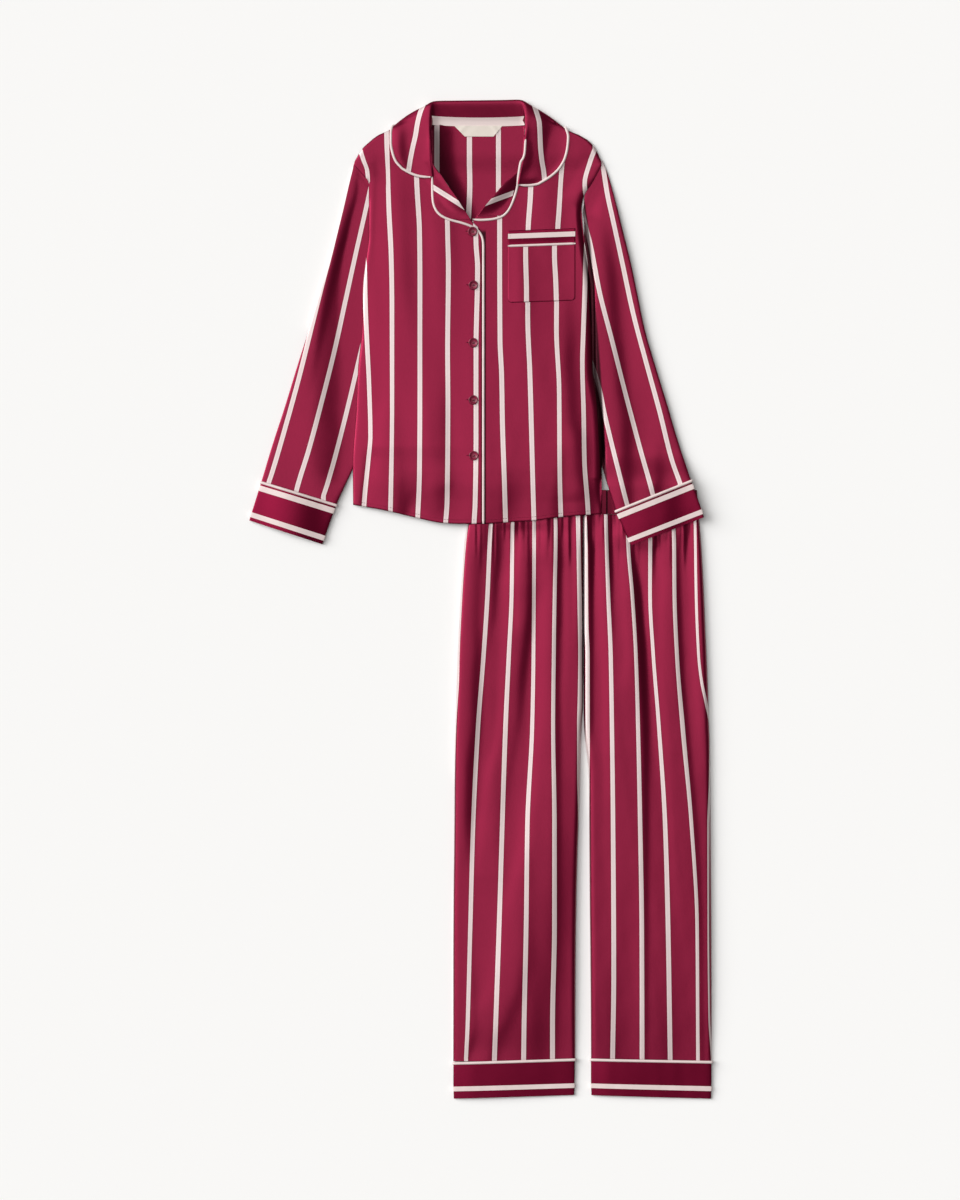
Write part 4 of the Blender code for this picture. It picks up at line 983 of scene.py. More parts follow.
def makeButton(number, x, y):
    look = buttonShape
    sides, rims = look["sides"], look["profile"][1:-1]
    reach = look["restsWithin"]
    under = [(x + reach * math.cos(turn), y + reach * math.sin(turn)) for turn in (0, 1.57, 3.14, 4.71)]
    seat = max(float(rightFrontTop(np.array(px), np.array(py))) for px, py in under) + look["clear"]
    points = [(x + radius * math.cos(turn), y + radius * math.sin(turn), seat + height)
              for radius, height in rims for turn in np.linspace(0, 2 * math.pi, sides, endpoint=False)]
    index = np.arange(len(points)).reshape(len(rims), sides)
    faces = quads(np.hstack([index, index[:, :1]])).tolist()
    points += [(x, y, seat + look["profile"][0][1]), (x, y, seat)]
    for side in range(sides):
        following, last = (side + 1) % sides, (len(rims) - 1) * sides
        faces += [(len(points) - 2, side, following), (len(points) - 1, last + following, last + side)]
    mesh = bpy.data.meshes.new(f"button{number}")
    mesh.from_pydata(np.array(points) * millimetre, [], faces)
    mesh.shade_smooth()
    button = addPiece(f"button{number}", mesh, buttonPlastic)
    settle(button, "button_plastic", f"button_{number}")
    wide, deep, high = look["thread"]
    crossing = [(x + wide * across, y + deep * along, seat + high)
                for across, along in ((-1, -1), (1, -1), (1, 1), (-1, 1))]
    settle(stitchRow(f"buttonThread{number}", crossing, insideThread, 3.0, 0.3, 0.42), "satin")
    across = x + np.array(look["holeAt"])
    ends = pointsOf(across, 0 * across + y + 0.4, rightFrontTop(across, 0 * across + y) + 0.1)
    settle(stitchRow(f"buttonhole{number}", ends, insideThread, 3.8, 0.2, 0.5), "satin")


for number, (x, y) in enumerate(buttonShape["places"], start=1):
    makeButton(number, x, y)
print("buttons made")


# sleeves and cuffs

tubeShape = {"power": 12, "spacing": 1.5, "below": 13, "wall": 1.0, "clear": 0.6, "leastHeight": 2.6,
             "sideHeight": 2.2, "sideShare": 0.42}
sleeveRightRings = [     # outer x y, inner x y, height, inner height
    (-155.6, 550, -129.4, 513, 1.6, 2.4), (-158, 543.3, -128.4, 505.6, 2.6, 2.4),
    (-163.5, 524, -124, 482.5, 4.4, 3.0), (-171, 492.5, -121, 455, 5.6, 3.2),
    (-179.5, 457.5, -120.5, 425, 6.2, 3.2), (-189, 420, -120.5, 390, 6.4, 3.2),
    (-202, 379, -122, 352.5, 6.4, 3.2), (-214, 337.5, -124.5, 310, 6.4, 3.2),
    (-229, 290, -130, 261, 6.4, 3.2), (-244, 241, -139.5, 212.5, 6.3, 3.2),
    (-259, 195, -157.5, 167.5, 6.1, 3.4), (-273, 148.5, -179.3, 119.8, 5.9, 5.4)]
sleeveLeftRings = [
    (152.6, 549.5, 130.6, 506, 1.6, 2.4), (157.9, 537.2, 129.6, 494, 2.6, 2.5),
    (163.4, 520, 128.6, 484.6, 3.2, 2.4), (170.8, 492.5, 130.2, 464, 5.0, 1.8),
    (178.5, 461, 128.6, 435, 6.1, 1.6), (187.5, 425, 132.0, 400, 6.4, 1.6),
    (196, 385, 134.6, 362.5, 6.4, 1.6), (206, 337.5, 136.0, 316, 6.4, 1.6),
    (219, 292.5, 138.4, 271, 6.4, 1.6), (234.4, 242.5, 144.6, 225, 6.3, 1.6),
    (244.6, 207.5, 147.4, 191, 6.2, 1.6), (255, 175, 154.4, 160, 6.0, 3.2),
    (263.2, 150, 169.2, 112.2, 5.9, 5.4)]
sleeveRightFolds = [
    (6, [(560, -146, 0), (530, -150, -0.17), (510, -152, -0.2), (480, -160, -0.2), (460, -166, -0.18),
     (420, -178, -0.15), (380, -188, -0.13), (340, -197, -0.12), (300, -205, -0.07), (250, -214, 0)]),
    (13, [(540, -150, 0), (480, -158, -0.03), (400, -170, -0.05), (340, -178, -0.05), (280, -184, -0.04),
     (240, -186, -0.04), (200, -178, -0.06), (160, -188, -0.05), (130, -195, -0.03)]),
    (3, [(500, -140, 0), (470, -142, 0.04), (400, -149, 0.08), (340, -150, 0.08), (300, -151, 0.03),
     (240, -155, 0.06), (200, -157, 0.06), (150, -162, 0)])]
sleeveLeftFolds = [
    (6, [(240, 160, 0), (200, 165, 0.03), (150, 168, 0.08), (120, 170, 0.08)]),
    (9, [(480, 156, 0), (440, 160, -0.07), (400, 165, -0.12), (340, 169, -0.13), (300, 174, -0.14),
     (260, 179, -0.14), (220, 185, -0.13), (160, 184, -0.12), (130, 185, -0.13), (110, 186, -0.1)]),
    (9, [(420, 184, 0), (380, 186, 0.02), (300, 200, 0.03), (240, 210, 0.03), (180, 212, 0.02),
     (140, 195, 0.04), (110, 195, 0.04)]),
    (8, [(200, 224, 0), (160, 224, -0.08), (130, 220, -0.12), (110, 220, -0.1)])]
cuffRightRings = [(-273.3, 147.4, -179.5, 118.8, 5.9, 5.5), (-281, 123, -188.6, 94, 5.8, 5.4),
                  (-288.3, 99.4, -196.9, 69.6, 5.2, 4.8)]
cuffLeftRings = [
    (263.6, 149, 169.6, 111.2, 5.9, 5.5), (272, 126, 179, 89, 5.8, 5.4), (279.6, 103.4, 187.9, 68, 5.2, 4.8)]
sleeveRightStripes = [
    [(540, -160.5), (520, -165.8), (490, -172.6), (460, -180), (430, -187.3), (400, -195.3), (340, -210.5),
     (280, -225.5), (220, -242), (160, -259.5), (145, -264.5)],
    [(520, -136), (490, -142.5), (430, -156), (370, -169), (310, -182), (250, -197), (190, -213),
     (145, -227), (130, -231)],
    [(520, -102.5), (490, -107.5), (430, -121), (370, -134), (310, -149), (250, -163), (190, -178),
     (145, -190.5), (130, -195.5)]]
sleeveLeftStripes = [
    [(495, 95), (437.5, 106), (385, 115), (325, 130), (265, 149), (235, 155), (205, 162), (160, 173),
     (130, 180.5), (117.5, 184)],
    [(525, 119), (495, 126), (464, 132.5), (445, 137.5), (385, 149), (325, 164.5), (265, 179.5),
     (205, 195.5), (145, 212), (130, 216)],
    [(540, 154), (505, 159.5), (475, 166), (415, 179), (355, 192), (295, 208), (235, 224.5), (175, 239.5),
     (145, 250)]]
cuffFolds = {
    "right": [(16, [(150, -256, 0.2), (60, -268, 0.16)]), (26, [(150, -204, -0.14), (60, -212, -0.2)])],
    "left": [(22, [(150, 200, -0.06), (60, 209, -0.07)]), (26, [(150, 238, -0.15), (60, 248, -0.17)])]}
bandShape = {       # tapes: name, node, start and end along the band
    "cuff": {"node": "cuff", "length": 48.5, "rows": 22, "uneven": 0.06, "pipingAt": 0.6,
             "tapes": [("cuffTapeUpper", "cuff_tape_upper", 4.3, 10.7),
                       ("cuffTapeLower", "cuff_tape_lower", 37.9, 44.1)]},
    "hemBand": {"node": "hem_band", "length": 46.8, "rows": 20, "uneven": 0.08, "pipingAt": 1.6,
                "tapes": [("hemTape", "hem_tape", 31.4, 37.4)]}}
bandWalls = {"piping": 1.75, "tape": 0.7}


def onTable(x, y):
    return 0.0 * x


def besideBody(x, y):       # the left sleeve lies low along the body, then stands up
    away = x - bodyRight(y)
    beside = smoothStep(y, *zones["besideFoot"]) * fade(y, 470, 492)
    low = fade(away, 1.5, 5.2)
    return low * beside + fade(away, 3, 26) * smoothStep(y, 470, 492)


def underBody(x, y):
    return smoothStep(x - bodyLeft(y), -56, -12) * smoothStep(y, *zones["sleeveFoot"])


def placesRound(width, spacing):      # once round a flat tube: half of the underside, the top, the other half
    top = 1 - 2 * edgeShares(width, spacing, (0.0, 0.1, 0.3, 0.7, 1.4, 2.6))
    under = np.linspace(0, 1, tubeShape["below"])[:-1]
    side = np.concatenate([-np.ones(len(under)), np.ones(len(top)), -np.ones(len(under))])
    return np.concatenate([under, top, -under[::-1]])[None, :], side[None, :]


def tubeGrid(rings, shares, lift, grow, folds=(), press=None, uneven=0.0, seed=1, stripes=None, spacing=None):
    look = tubeShape
    table = np.array(rings, dtype=float)
    steps = np.asarray(shares) * (len(table) - 1)
    fields = [curveThrough(list(enumerate(column)))(steps)[:, None] for column in table.T]
    outerX, outerY, innerX, innerY, height, innerHeight = fields
    half = np.hypot(outerX - innerX, outerY - innerY) / 2
    across, side = placesRound(2 * float(half.mean()), spacing or look["spacing"])
    up = side * np.maximum(0.0, 1 - np.abs(across) ** look["power"]) ** (1 / look["power"])
    reach = (half + grow) / half

    def place(amount):
        return ((outerX + innerX) / 2 + (outerX - innerX) / 2 * amount,
                (outerY + innerY) / 2 + (outerY - innerY) / 2 * amount)

    x, y = place(across * reach)
    low = press(x, y) if press else smoothStep(-across, -0.5, 0.8)
    tall = height + (innerHeight - height) * low
    rise = levelFolds(folds, x, y, np.minimum(outerX, innerX), np.maximum(outerX, innerX)) if folds else 0.0
    rise = rise + uneven * unevenness(x, y * 0.3, 34, seed)
    least = np.minimum(look["leastHeight"], tall)
    tall = least + aboveZero(tall - least + rise * np.maximum(up, 0) ** 0.5)
    middle = np.minimum(look["sideHeight"], look["sideShare"] * tall)      # where its two sides bulge most
    z = np.where(side > 0, middle + (tall + grow - middle) * up,
                 middle + (middle - look["clear"] + grow) * up)
    z = lift(x, y) + z
    over = np.where(side > 0, across, np.sign(across) * (2 - np.abs(across)))       # carries on underneath
    clothX, clothY = place(over)
    if stripes:
        clothU = stripePlace(stripes, clothX, clothY, narrowRepeat)
    else:
        clothU = over * half / clothRepeat
    length = np.hypot(table[-1, 0] - table[0, 0], table[-1, 1] - table[0, 1])
    clothV = np.asarray(shares)[:, None] * length / clothRepeat
    places = np.stack([clothU, clothV + 0 * clothU], axis=-1)
    return pointsOf(x, y, z)[:, :-1], places


def clothTube(name, rings, shares, lift, material, **more):
    outer, places = tubeGrid(rings, shares, lift, 0.0, **more)
    inner, _ = tubeGrid(rings, shares, lift, -tubeShape["wall"], **more)
    inner[:, :, 2] = np.minimum(inner[:, :, 2], outer[:, :, 2] - 0.4 * (outer[:, :, 2] > 2.5))
    return clothShell(name, outer, inner, places, material, wrapped=True)


def bandRound(name, rings, start, end, lift, wall, material, folds=()):
    shares = np.linspace(start, end, 5)
    outer, places = tubeGrid(rings, shares, lift, wall, folds=folds)
    inner, _ = tubeGrid(rings, shares, lift, 0.02, folds=folds)
    outer[:, :, 2] = np.maximum(outer[:, :, 2], 0.05)
    return clothShell(name, outer, inner, places[:, :, ::-1].copy(), material, wrapped=True)


def ringOfPiping(name, rings, share, lift, radius, folds=()):
    grid, _ = tubeGrid(rings, [share], lift, radius * 0.35, spacing=1.2, folds=folds)
    return pipingCord(name, grid[0], radius, ivoryPiping, closed=True, sides=10)


def gapPaintedShade(finish, x, y):        # painted shade in the narrow gap along the body's side
    reach = finish.step(y, 435.0, 520.0, 1.0, 0.55)
    return finish.step((x - nearSide(y)) / reach, 4.8, 7.8, 0.95, 0.0) * finish.step(y, 112.0, 150.0)


gapPaintedShadeSatin = satinFinish("gapPaintedShadeSatin", True, gapPaintedShade)


def makeBand(part, side, rings, lift, folds, seed):
    look, title = bandShape[part], side.title()
    length = look["length"]
    shares = np.concatenate([[0.0], np.linspace(0.02, 0.965, look["rows"]), [0.978, 0.99, 1.0]])
    band = clothTube(part + title, rings, shares, lift, plainSatin, folds=folds, uneven=look["uneven"],
                     seed=seed)
    settle(band, "satin", f"{look['node']}_{side}")
    word = part.replace("Band", "")
    cord = ringOfPiping(f"{word}Piping{title}", rings, look["pipingAt"] / length, lift, bandWalls["piping"],
                        folds)
    settle(cord, "ivory_satin", f"{word}_piping_{side}")
    for name, node, start, end in look["tapes"]:
        tape = bandRound(name + title, rings, start / length, end / length, lift, bandWalls["tape"],
                         ivoryTape, folds)
        settle(tape, "ivory_satin", f"{node}_{side}")
    return band


def makeSleeve(side, satin, rings, cuffRings, stripes, lift, press, folds, seed):
    sleeve = clothTube(f"sleeve{side.title()}", rings, np.linspace(0, 1, 190), lift, satin, folds=folds,
                       press=press, uneven=0.08, seed=seed, stripes=stripes)
    settle(sleeve, "satin", f"sleeve_{side}")
    return sleeve, makeBand("cuff", side, cuffRings, lift, cuffFolds[side], seed + 1)


sleeveRight, cuffRight = makeSleeve("right", stripedSatin, sleeveRightRings, cuffRightRings,
                                    sleeveRightStripes, onTable, underBody, sleeveRightFolds, 41)
sleeveLeft, cuffLeft = makeSleeve("left", gapPaintedShadeSatin, sleeveLeftRings, cuffLeftRings, sleeveLeftStripes,
                                  overTrousers, besideBody, sleeveLeftFolds, 51)
print("sleeves made")


# trousers

legShape = {"wall": 1.0, "sideTurn": 1.8, "spacing": 1.5, "rows": 3.2, "loft": 1.25, "plump": 60,
            "crotchPlump": 45, "top": 107, "bottom": -576, "backWall": 0.9, "backSpacing": 9, "backRows": 12}
legRightOutline = [
    (107, -13, 129), (100, -14.5, 129), (87.5, -17, 129), (69, -19.6, 129), (44, -21.2, 129),
    (12.5, -23.4, 129), (-25, -25.6, 129), (-75, -27.9, 129), (-132.5, -29.8, 128.6), (-156, -30.6, 127),
    (-192.5, -31.6, 125.6), (-250, -31.9, 124.1), (-312.5, -32.4, 122), (-375, -33.2, 120.5),
    (-450, -33.5, 119.5), (-576, -33.5, 118.9)]
legLeftOutline = [
    (107, 129.3, 272.5), (100, 129.3, 273.8), (87.5, 129.3, 275), (69, 129.3, 276.4), (44, 129.3, 278),
    (12.5, 129.3, 279.6), (-25, 129.3, 281.2), (-75, 129.3, 283.4), (-132.5, 129.4, 285.6),
    (-156, 129.9, 286.2), (-175, 131.3, 287), (-192.5, 133.6, 287.3), (-219, 136, 287.6),
    (-250, 136.3, 287.9), (-312.5, 136.7, 288.3), (-375, 137.1, 288.8), (-450, 137.9, 289.2),
    (-576, 138.8, 289.4)]
legLoftAt = curveThrough([(107, 3.7), (70, 3.9), (20, 4.0), (-60, 4.2), (-300, 4.3), (-450, 4.1), (-500, 3.7),
                          (-576, 1.8)])
legRightFolds = [
    (5, [(110, -14, 0), (84, -14, 0.05), (60, -16, 0.1), (20, -18, 0.07), (-20, -20, 0.05),
     (-140, -23, 0.03), (-220, -25, 0.03), (-300, -26, 0)]),
    (7, [(107, 8, -0.16), (84, 7, -0.15), (72, 6, -0.11), (60, 2, -0.09), (20, -2, -0.06), (-20, -4, -0.06),
     (-60, -2, -0.09), (-100, -4, -0.12), (-140, -4, -0.14), (-220, -11, -0.14), (-260, -12, -0.14),
     (-300, -13, -0.08), (-345, -13, 0)]),
    (5, [(107, 26, -0.14), (84, 24, -0.18), (60, 23, -0.15), (20, 19, -0.12), (-20, 17, -0.08),
     (-40, 14, -0.04), (-80, 10, 0)]),
    (6, [(80, 36, 0), (60, 36, 0.07), (40, 36, 0.13), (20, 33, 0.16), (-20, 32, 0.12), (-60, 30, 0.14),
     (-140, 26, 0.14), (-180, 20, 0.12), (-220, 9, 0.1), (-300, -1, 0.08), (-350, -5, 0)]),
    (2.2, [(107, 44, -0.381), (84, 44, -0.272), (72, 44, -0.082), (60, 44, 0)]),
    (3, [(96, 49, 0), (84, 49, 0.192), (60, 48, 0.269), (20, 46, 0.108), (-20, 46, 0.108), (-50, 45, 0)]),
    (2.2, [(107, 54, -0.354), (84, 54, -0.218), (72, 54, -0.082), (55, 54, 0)]),
    (6, [(107, 64, -0.13), (84, 64, -0.13), (72, 63, -0.08), (40, 63, -0.12), (0, 64, -0.18),
     (-20, 63, -0.19), (-60, 58, -0.15), (-100, 53, -0.12), (-140, 50, -0.07), (-180, 44, -0.04),
     (-260, 28, -0.03), (-330, 18, 0)]),
    (9, [(96, 80, 0), (84, 79, 0.1), (60, 79, 0.1), (20, 82, 0.1), (0, 79, 0.15), (-20, 77, 0.18),
     (-60, 76, 0.19), (-140, 73, 0.17), (-180, 69, 0.17), (-220, 66, 0.15), (-260, 60, 0.14),
     (-300, 55, 0.12), (-330, 47, 0.11), (-360, 38, 0.1), (-400, 29, 0.08), (-440, 24, 0.06),
     (-480, 13, 0.05), (-520, -2, 0.04), (-560, 3, 0.02)]),
    (2.2, [(107, 86, -0.354), (84, 86, -0.245), (72, 85, -0.136), (45, 83, 0)]),
    (5, [(107, 98, -0.19), (60, 99, -0.2), (20, 98, -0.19), (-20, 98, -0.17), (-60, 96, -0.15),
     (-100, 96, -0.13), (-200, 97, -0.11), (-300, 97, -0.1), (-500, 95, -0.06), (-576, 95, -0.04)]),
    (4.5, [(98, 108, 0), (84, 108, 0.1), (20, 107, 0.1), (-60, 107, 0.08), (-120, 104, 0.06),
     (-220, 110, 0)]),
    (1.9, [(107, 114, -0.326), (84, 113, -0.218), (60, 113, -0.136), (40, 113, 0)]),
    (2.2, [(96, 118, 0), (84, 118, 0.134), (40, 118, 0.154), (-60, 117, 0)]),
    (22, [(-200, 104, 0), (-300, 104, -0.035), (-400, 96, -0.06), (-500, 80, -0.08), (-576, 70, -0.09)]),
    (10, [(-370, 60, 0), (-440, 60, -0.05), (-480, 53, -0.06), (-520, 38, -0.06), (-550, 24, -0.07),
     (-576, 16, -0.08)]),
    (5, [(-380, -7, 0), (-440, -11, -0.03), (-480, -8, -0.05), (-530, -6, -0.05), (-560, -12, -0.08),
     (-576, -16, -0.05)])]
legLeftFolds = [
    (3, [(107, 138, -0.462), (84, 137, -0.571), (60, 139, -0.544), (0, 139, -0.255), (-60, 139, -0.17),
     (-140, 139, -0.119), (-190, 139, 0)]),
    (5, [(107, 146, 0), (96, 146, 0.03), (84, 146, 0.11), (60, 146, 0.14), (20, 149, 0.19), (-60, 154, 0.2),
     (-100, 156, 0.2), (-180, 157, 0.12), (-220, 158, 0.09), (-300, 158, 0.03), (-350, 160, 0)]),
    (1.9, [(107, 150, -0.299), (96, 149, -0.136), (82, 150, 0)]),
    (3, [(107, 160, -0.354), (84, 160, -0.408), (60, 162, -0.408), (40, 163, -0.299), (0, 164, -0.119),
     (-60, 167, -0.034), (-110, 168, 0)]),
    (1.9, [(107, 168, -0.299), (96, 168, -0.163), (82, 168, 0)]),
    (6, [(98, 172, 0), (84, 172, 0.08), (60, 176, 0.08), (-20, 180, 0.07), (-60, 183, 0.07),
     (-100, 180, 0.05), (-150, 178, 0)]),
    (4.6, [(107, 184, -0.16), (84, 184, -0.17), (60, 189, -0.22), (40, 192, -0.3), (20, 195, -0.36),
     (0, 197, -0.4), (-60, 202, -0.38), (-100, 204, -0.33), (-140, 206, -0.24), (-180, 207, -0.19),
     (-260, 207, -0.15), (-400, 207, -0.12), (-576, 207, -0.09)]),
    (4.5, [(80, 204, 0), (60, 204, 0.08), (40, 204, 0.13), (0, 208, 0.15), (-20, 208, 0.16),
     (-60, 211, 0.1), (-100, 214, 0.07), (-200, 224, 0.05), (-260, 236, 0.05), (-400, 243, 0)]),
    (2.6, [(107, 219, -0.408), (84, 219, -0.354), (72, 219, -0.354), (60, 217, -0.272), (40, 217, -0.136),
     (15, 217, 0)]),
    (5, [(76, 226, 0), (60, 226, 0.12), (20, 228, 0.09), (-40, 225, 0.07), (-100, 226, 0.07),
     (-180, 232, 0.06), (-360, 243, 0)]),
    (1.9, [(107, 233, -0.354), (84, 233, -0.19), (72, 232, -0.082), (55, 232, 0)]),
    (4.5, [(107, 247, -0.14), (84, 246, -0.16), (20, 247, -0.14), (-20, 248, -0.15), (-100, 252, -0.15),
     (-140, 256, -0.12), (-220, 263, -0.1), (-300, 270, -0.09), (-400, 275, -0.09), (-576, 278, -0.08)]),
    (2.2, [(107, 258, -0.354), (84, 258, -0.408), (72, 258, -0.299), (60, 258, -0.163), (42, 258, 0)]),
    (4.5, [(96, 264, 0), (84, 264, 0.08), (60, 264, 0.14), (20, 266, 0.17), (-60, 267, 0.13),
     (-140, 272, 0.08), (-220, 276, 0)]),
    (12, [(-330, 172, 0), (-440, 170, -0.04), (-500, 165, -0.06), (-576, 168, -0.08)]),
    (12, [(-380, 240, 0), (-440, 240, -0.03), (-500, 240, -0.05), (-576, 238, -0.07)])]
legRightStripes = [
    [(107.5, -14.6), (85, -18.4), (60, -21), (6, -24.8), (-69, -28.2), (-100, -28.8), (-156, -32),
     (-219, -33.8), (-281, -35), (-344, -38), (-575, -40)],
    [(107.5, 15), (85, 13), (6, 9.5), (-69, 4.5), (-156, -2.5), (-281, -9), (-406, -12.5), (-531, -16),
     (-572.5, -18)],
    [(107.5, 41), (85, 40.5), (6, 39.5), (-69, 36), (-156, 32), (-281, 28), (-406, 24), (-531, 19.5),
     (-572.5, 18)],
    [(107.5, 67.5), (85, 67.5), (-69, 67), (-156, 65.5), (-281, 59), (-406, 57.5), (-531, 55),
     (-572.5, 54.5)],
    [(107.5, 94), (85, 94.5), (6, 93), (-50, 92), (-156, 91), (-281, 93), (-406, 93), (-531, 90.5),
     (-572.5, 90.5)],
    [(107.5, 122), (85, 122.5), (-12.5, 124.5), (-69, 125.5), (-112.5, 125), (-156, 124), (-219, 124),
     (-281, 125.5), (-406, 127.5), (-572.5, 127.5)]]
legLeftStripes = [
    [(107.5, 130.5), (85, 132), (44, 132.5), (-31, 133), (-69, 134.5), (-156, 134.5), (-250, 134),
     (-375, 132.5), (-572.5, 131)],
    [(107.5, 157), (70, 158), (6, 160), (-69, 163), (-156, 164.5), (-281, 166), (-469, 167),
     (-572.5, 165.5)],
    [(107.5, 184), (70, 185), (6, 190.5), (-69, 195), (-156, 197.5), (-281, 200), (-406, 202),
     (-572.5, 202.5)],
    [(107.5, 211), (70, 212.5), (6, 212), (-69, 216), (-156, 223), (-281, 231), (-406, 234.5),
     (-572.5, 237.5)],
    [(107.5, 241), (70, 242.5), (6, 243), (-69, 246), (-156, 252.5), (-281, 264.5), (-406, 272),
     (-572.5, 273)],
    [(107.5, 269), (70, 269.5), (6, 270.5), (-69, 273.5), (-100, 277), (-130, 283.5), (-160, 289.5),
     (-220, 288.5), (-281, 285.6), (-406, 285.2), (-520, 286.4), (-572.5, 290)],
    [(107.5, 281), (6, 283), (-69, 286), (-130, 296), (-160, 302), (-220, 300), (-281, 297), (-406, 296.6),
     (-520, 298), (-572.5, 302)]]


fineGathers = [(place, 0.25 + 0.1 * math.sin(7.1 * place)) for place in (
    -5, 1.5, 12, 17, 21, 31, 38.5, 47, 51, 60, 69, 74, 91, 103, 111, 122, 134, 143, 154, 164, 174, 179, 192,
    199, 207, 213, 224, 229, 238, 243, 251, 255, 262, 267)]


def gather(x, y):       # fine creases just under the waistband
    total = 0.0
    for number, (place, slope) in enumerate(fineGathers):
        drift = place + 0.02 * (100 - y) * math.sin(3.7 * number)
        length = 56 + 26 * math.sin(2.3 * number)
        total = total - slope * np.tanh((x - drift) / 0.9) * np.exp(-np.abs(x - drift) / 2.4) * 2.2 * (
            fade(100 - y, 0.25 * length, length))
    return total


def legTop(x, y, left, right, folds):
    look = legShape
    across = 2 * (x - left(y)) / (right(y) - left(y)) - 1
    crotch = smoothStep(y, *zones["crotchFoot"]) * fade(y, *zones["crotchHead"]) * (left(y) < 0)
    plump = look["plump"] + (look["crotchPlump"] - look["plump"]) * crotch
    edge = np.maximum(0.0, 1.0 - np.abs(across) ** np.where(across > 0, plump, look["plump"]))
    wander = 0.2 * unevenness(x, y * 0.2, 60, 61)
    level = levelFolds(folds, x, y, left(y), right(y))
    loft = np.maximum(0.0, aboveZero((legLoftAt(y) * look["loft"] + wander) * edge + level) - 0.15)
    return 2 * layers["cloth"] + layers["gap"] + loft + gather(x, y) * edge


def seamPaintedShade(finish, x, y):       # painted shade in the narrow valley where the legs meet
    seam = finish.step(abs(x - 128.9), 0.9, 2.0, 0.9, 0.0)
    return seam * finish.step(y, -130.0, -80.0) * finish.step(y, 60.0, 95.0, 1.0, 0.3)


legPaintedShadeSatin = satinFinish("legPaintedShadeSatin", True, seamPaintedShade)


def makeLeg(side, outline, stripes, folds, seed):
    look = legShape
    left, right = edgesOf(outline)
    heights = rowHeights(look["top"], look["bottom"], look["rows"])
    x, y = panelPlaces(left, right, heights, edgeShares(panelWidth, look["spacing"]))
    top = legTop(x, y, left, right, folds) + 0.04 * unevenness(x, y * 0.3, 22, seed)
    top = top - roundedFall(np.minimum(x - x[:, :1], x[:, -1:] - x), look["sideTurn"], 1.5)
    across = stripePlace(stripes, x, y, narrowRepeat)
    front = layCloth(f"trouserFront{side.title()}", x, y, top, look["wall"], legPaintedShadeSatin, across, 1.1)
    settle(front, "satin", f"trouser_front_{side}")
    heights = rowHeights(look["top"], look["bottom"], look["backRows"])
    x, y = panelPlaces(left, right, heights, edgeShares(panelWidth, look["backSpacing"]))
    top, wall = layers["lying"] + 0 * x, look["backWall"]
    back = layCloth(f"trouserBack{side.title()}", x, y, top, wall, stripedSatin, x / clothRepeat)
    return front, settle(back, "satin", f"trouser_back_{side}")


trouserFrontRight, trouserBackRight = makeLeg("right", legRightOutline, legRightStripes, legRightFolds, 71)
trouserFrontLeft, trouserBackLeft = makeLeg("left", legLeftOutline, legLeftStripes, legLeftFolds, 72)
print("legs made")


# waistband and hem bands

hemRightRings = [(-33.2, -577.2, 118.4, -572.6, 6.4, 5.8), (-33.4, -600, 118.2, -596, 5.2, 4.6),
                 (-32.8, -623, 117.8, -618.4, 3.8, 3.4)]
hemLeftRings = [(289.1, -575.6, 138.6, -572.6, 5.8, 6.4), (289.1, -599.4, 138.6, -596, 4.6, 5.2),
                (288.6, -623, 139.2, -618.6, 3.4, 3.8)]
waistRings = [
    (-14.6, 137.2, 271, 137.2, 6.2, 6.2), (-14, 122, 272, 122, 6.6, 6.6),
    (-13, 107.4, 272.6, 107.4, 6.4, 6.4)]


bandFolds = {side: [(12, [(-570, near, 0.08), (-630, near, 0.08)]),
                    (40, [(-570, far, -0.02), (-630, far, -0.02)])]
             for side, near, far in (("right", -20, 75), ("left", 150, 245))}


def waistPaintedShade(finish, x, y):       # painted shade under the shirt, between its side and the sleeve, darkest along a narrow line
    return finish.step(abs(x - 158.4), 0.5, 1.4, 0.9, 0.0) + finish.step(x, 160.0, 168.0, 0.5, 0.12)


waistPaintedShadeSatin = satinFinish("waistPaintedShadeSatin", False, waistPaintedShade)


def makeWaistband():
    waistband = clothTube("waistbandCloth", waistRings, np.linspace(0, 1, 14), onTable, waistPaintedShadeSatin,
                          uneven=0.1, seed=81, spacing=1.5)
    return settle(waistband, "satin", "waistband")


hemBandRight = makeBand("hemBand", "right", hemRightRings, onTable, bandFolds["right"], 91)
hemBandLeft = makeBand("hemBand", "left", hemLeftRings, onTable, bandFolds["left"], 92)
waistband = makeWaistband()
print("bands made")


# stitching

def hemStitches(side, start, end, surface):
    x = np.arange(start, end, 4.0)
    y = hemLine(x) + 4.8
    points = pointsOf(x, y, surface(x, y) + 0.06)
    settle(stitchRow(f"hemStitches{side.title()}", points, plainSatin), "satin")


def bandStitches(name, rings, length, lift, folds):
    grid, _ = tubeGrid(rings, [(length - 1.6) / length], lift, 0.1, spacing=3.0, folds=folds)
    under = tubeShape["below"]
    settle(stitchRow(name, grid[0, under + 1:-under - 1], plainSatin, 1.6, 1.6, 0.25), "satin")


hemStitches("right", -152, 0, rightFrontTop)
hemStitches("left", 8, 146, leftFrontTop)
bandStitches("cuffStitchesRight", cuffRightRings, bandShape["cuff"]["length"], onTable, cuffFolds["right"])
bandStitches("cuffStitchesLeft", cuffLeftRings, bandShape["cuff"]["length"], overTrousers, cuffFolds["left"])
bandStitches("bandStitchesRight", hemRightRings, bandShape["hemBand"]["length"], onTable, bandFolds["right"])
bandStitches("bandStitchesLeft", hemLeftRings, bandShape["hemBand"]["length"], onTable, bandFolds["left"])
print("stitching made")
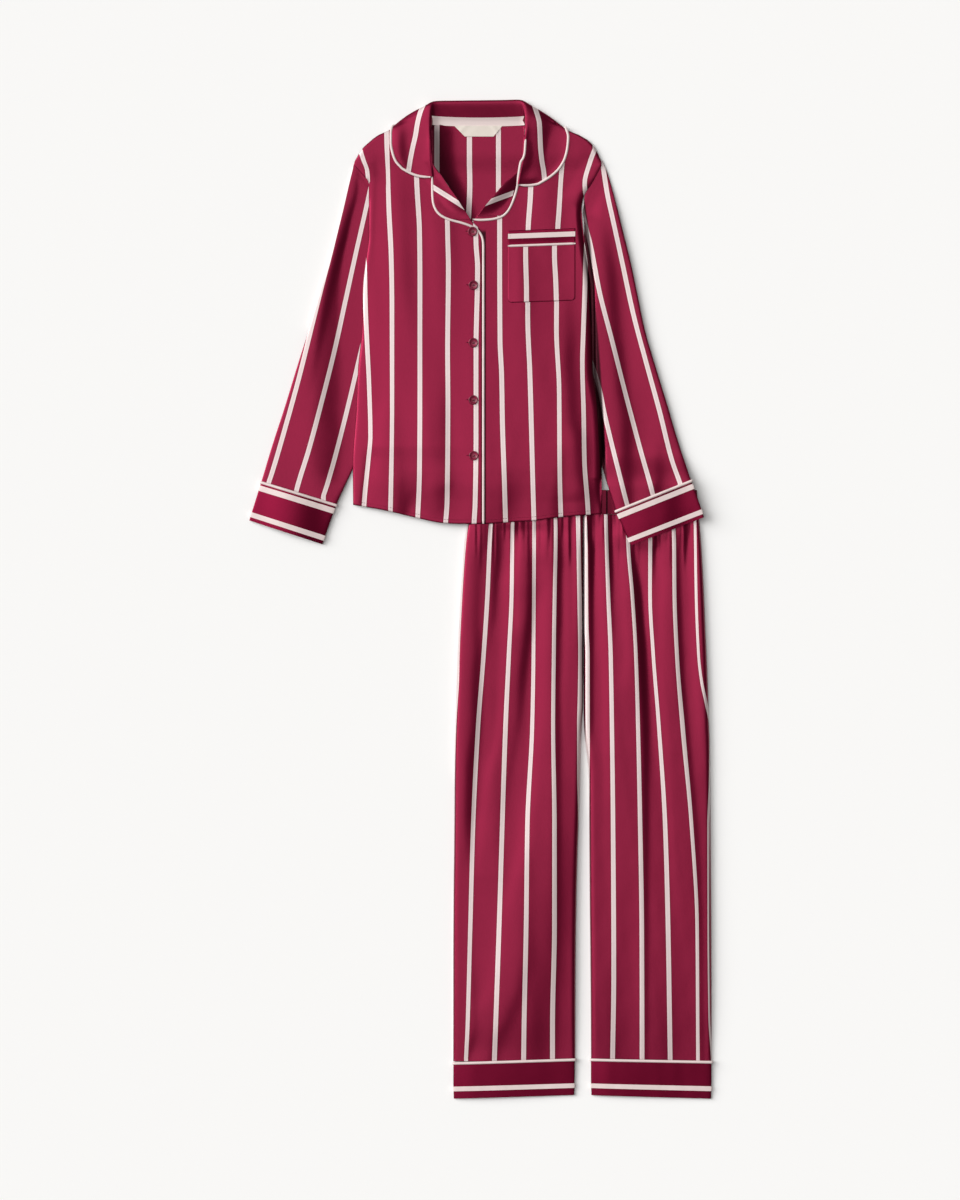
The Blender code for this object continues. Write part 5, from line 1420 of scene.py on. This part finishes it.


# table top, light and camera

studio = {"floor": (0.93, 0.922, 0.908, 1), "world": (1.0, 0.998, 0.995), "worldStrength": 0.12,
          "overhead": {"from": (-0.26, 0.15, 0.95), "spread": 46.0, "strength": 1.3},
          "side": {"from": (-0.8, 0.3, 0.5), "spread": 42.0, "strength": 3.15},
          "cameraHeight": 6.25, "lens": 150.0}


def makeFloor():
    mesh = bpy.data.meshes.new("floor")
    reach = 4.0
    corners = [(-reach, -reach, 0), (reach, -reach, 0), (reach, reach, 0), (-reach, reach, 0)]
    mesh.from_pydata(corners, [], [(0, 1, 2, 3)])
    finish = Finish("paleFloor", Roughness=0.9, Specular_IOR_Level=0.1)
    grain = finish.grain(finish.node("ShaderNodeTexCoord", {}, {}, "Object"), 900.0, 2.0)
    dimmer = tuple(channel * 0.995 for channel in studio["floor"][:3]) + (1,)
    finish.feed(finish.surface.inputs["Base Color"], finish.mixColour(grain, dimmer, studio["floor"]))
    floor = addPiece("floor", mesh, finish.material)


def softLight(name, comesFrom, spread, strength):      # a wide, even light from far off
    lamp = bpy.data.lights.new(name, "SUN")
    lamp.angle, lamp.energy = math.radians(spread), strength
    light = bpy.data.objects.new(name, lamp)
    light.location = Vector(comesFrom) * 3
    light.rotation_euler = (-Vector(comesFrom)).to_track_quat("-Z", "Y").to_euler()
    bpy.context.scene.collection.objects.link(light)


def makeStudio():
    makeFloor()
    for name in ("overhead", "side"):
        softLight(name + "Light", studio[name]["from"], studio[name]["spread"], studio[name]["strength"])
    world = bpy.data.worlds.new("paleRoom")
    world.use_nodes = True
    world.node_tree.nodes["Background"].inputs["Color"].default_value = (*studio["world"], 1)
    world.node_tree.nodes["Background"].inputs["Strength"].default_value = studio["worldStrength"]
    bpy.context.scene.world = world
    lens = bpy.data.cameras.new("camera")
    lens.lens, lens.sensor_width, lens.clip_end = studio["lens"], 36.0, 50.0
    camera = bpy.data.objects.new("camera", lens)
    camera.location = (0.0, 0.0, studio["cameraHeight"])
    bpy.context.scene.collection.objects.link(camera)
    bpy.context.scene.camera = camera
    bpy.context.scene.view_settings.view_transform = "Standard"


makeStudio()
print("studio made")
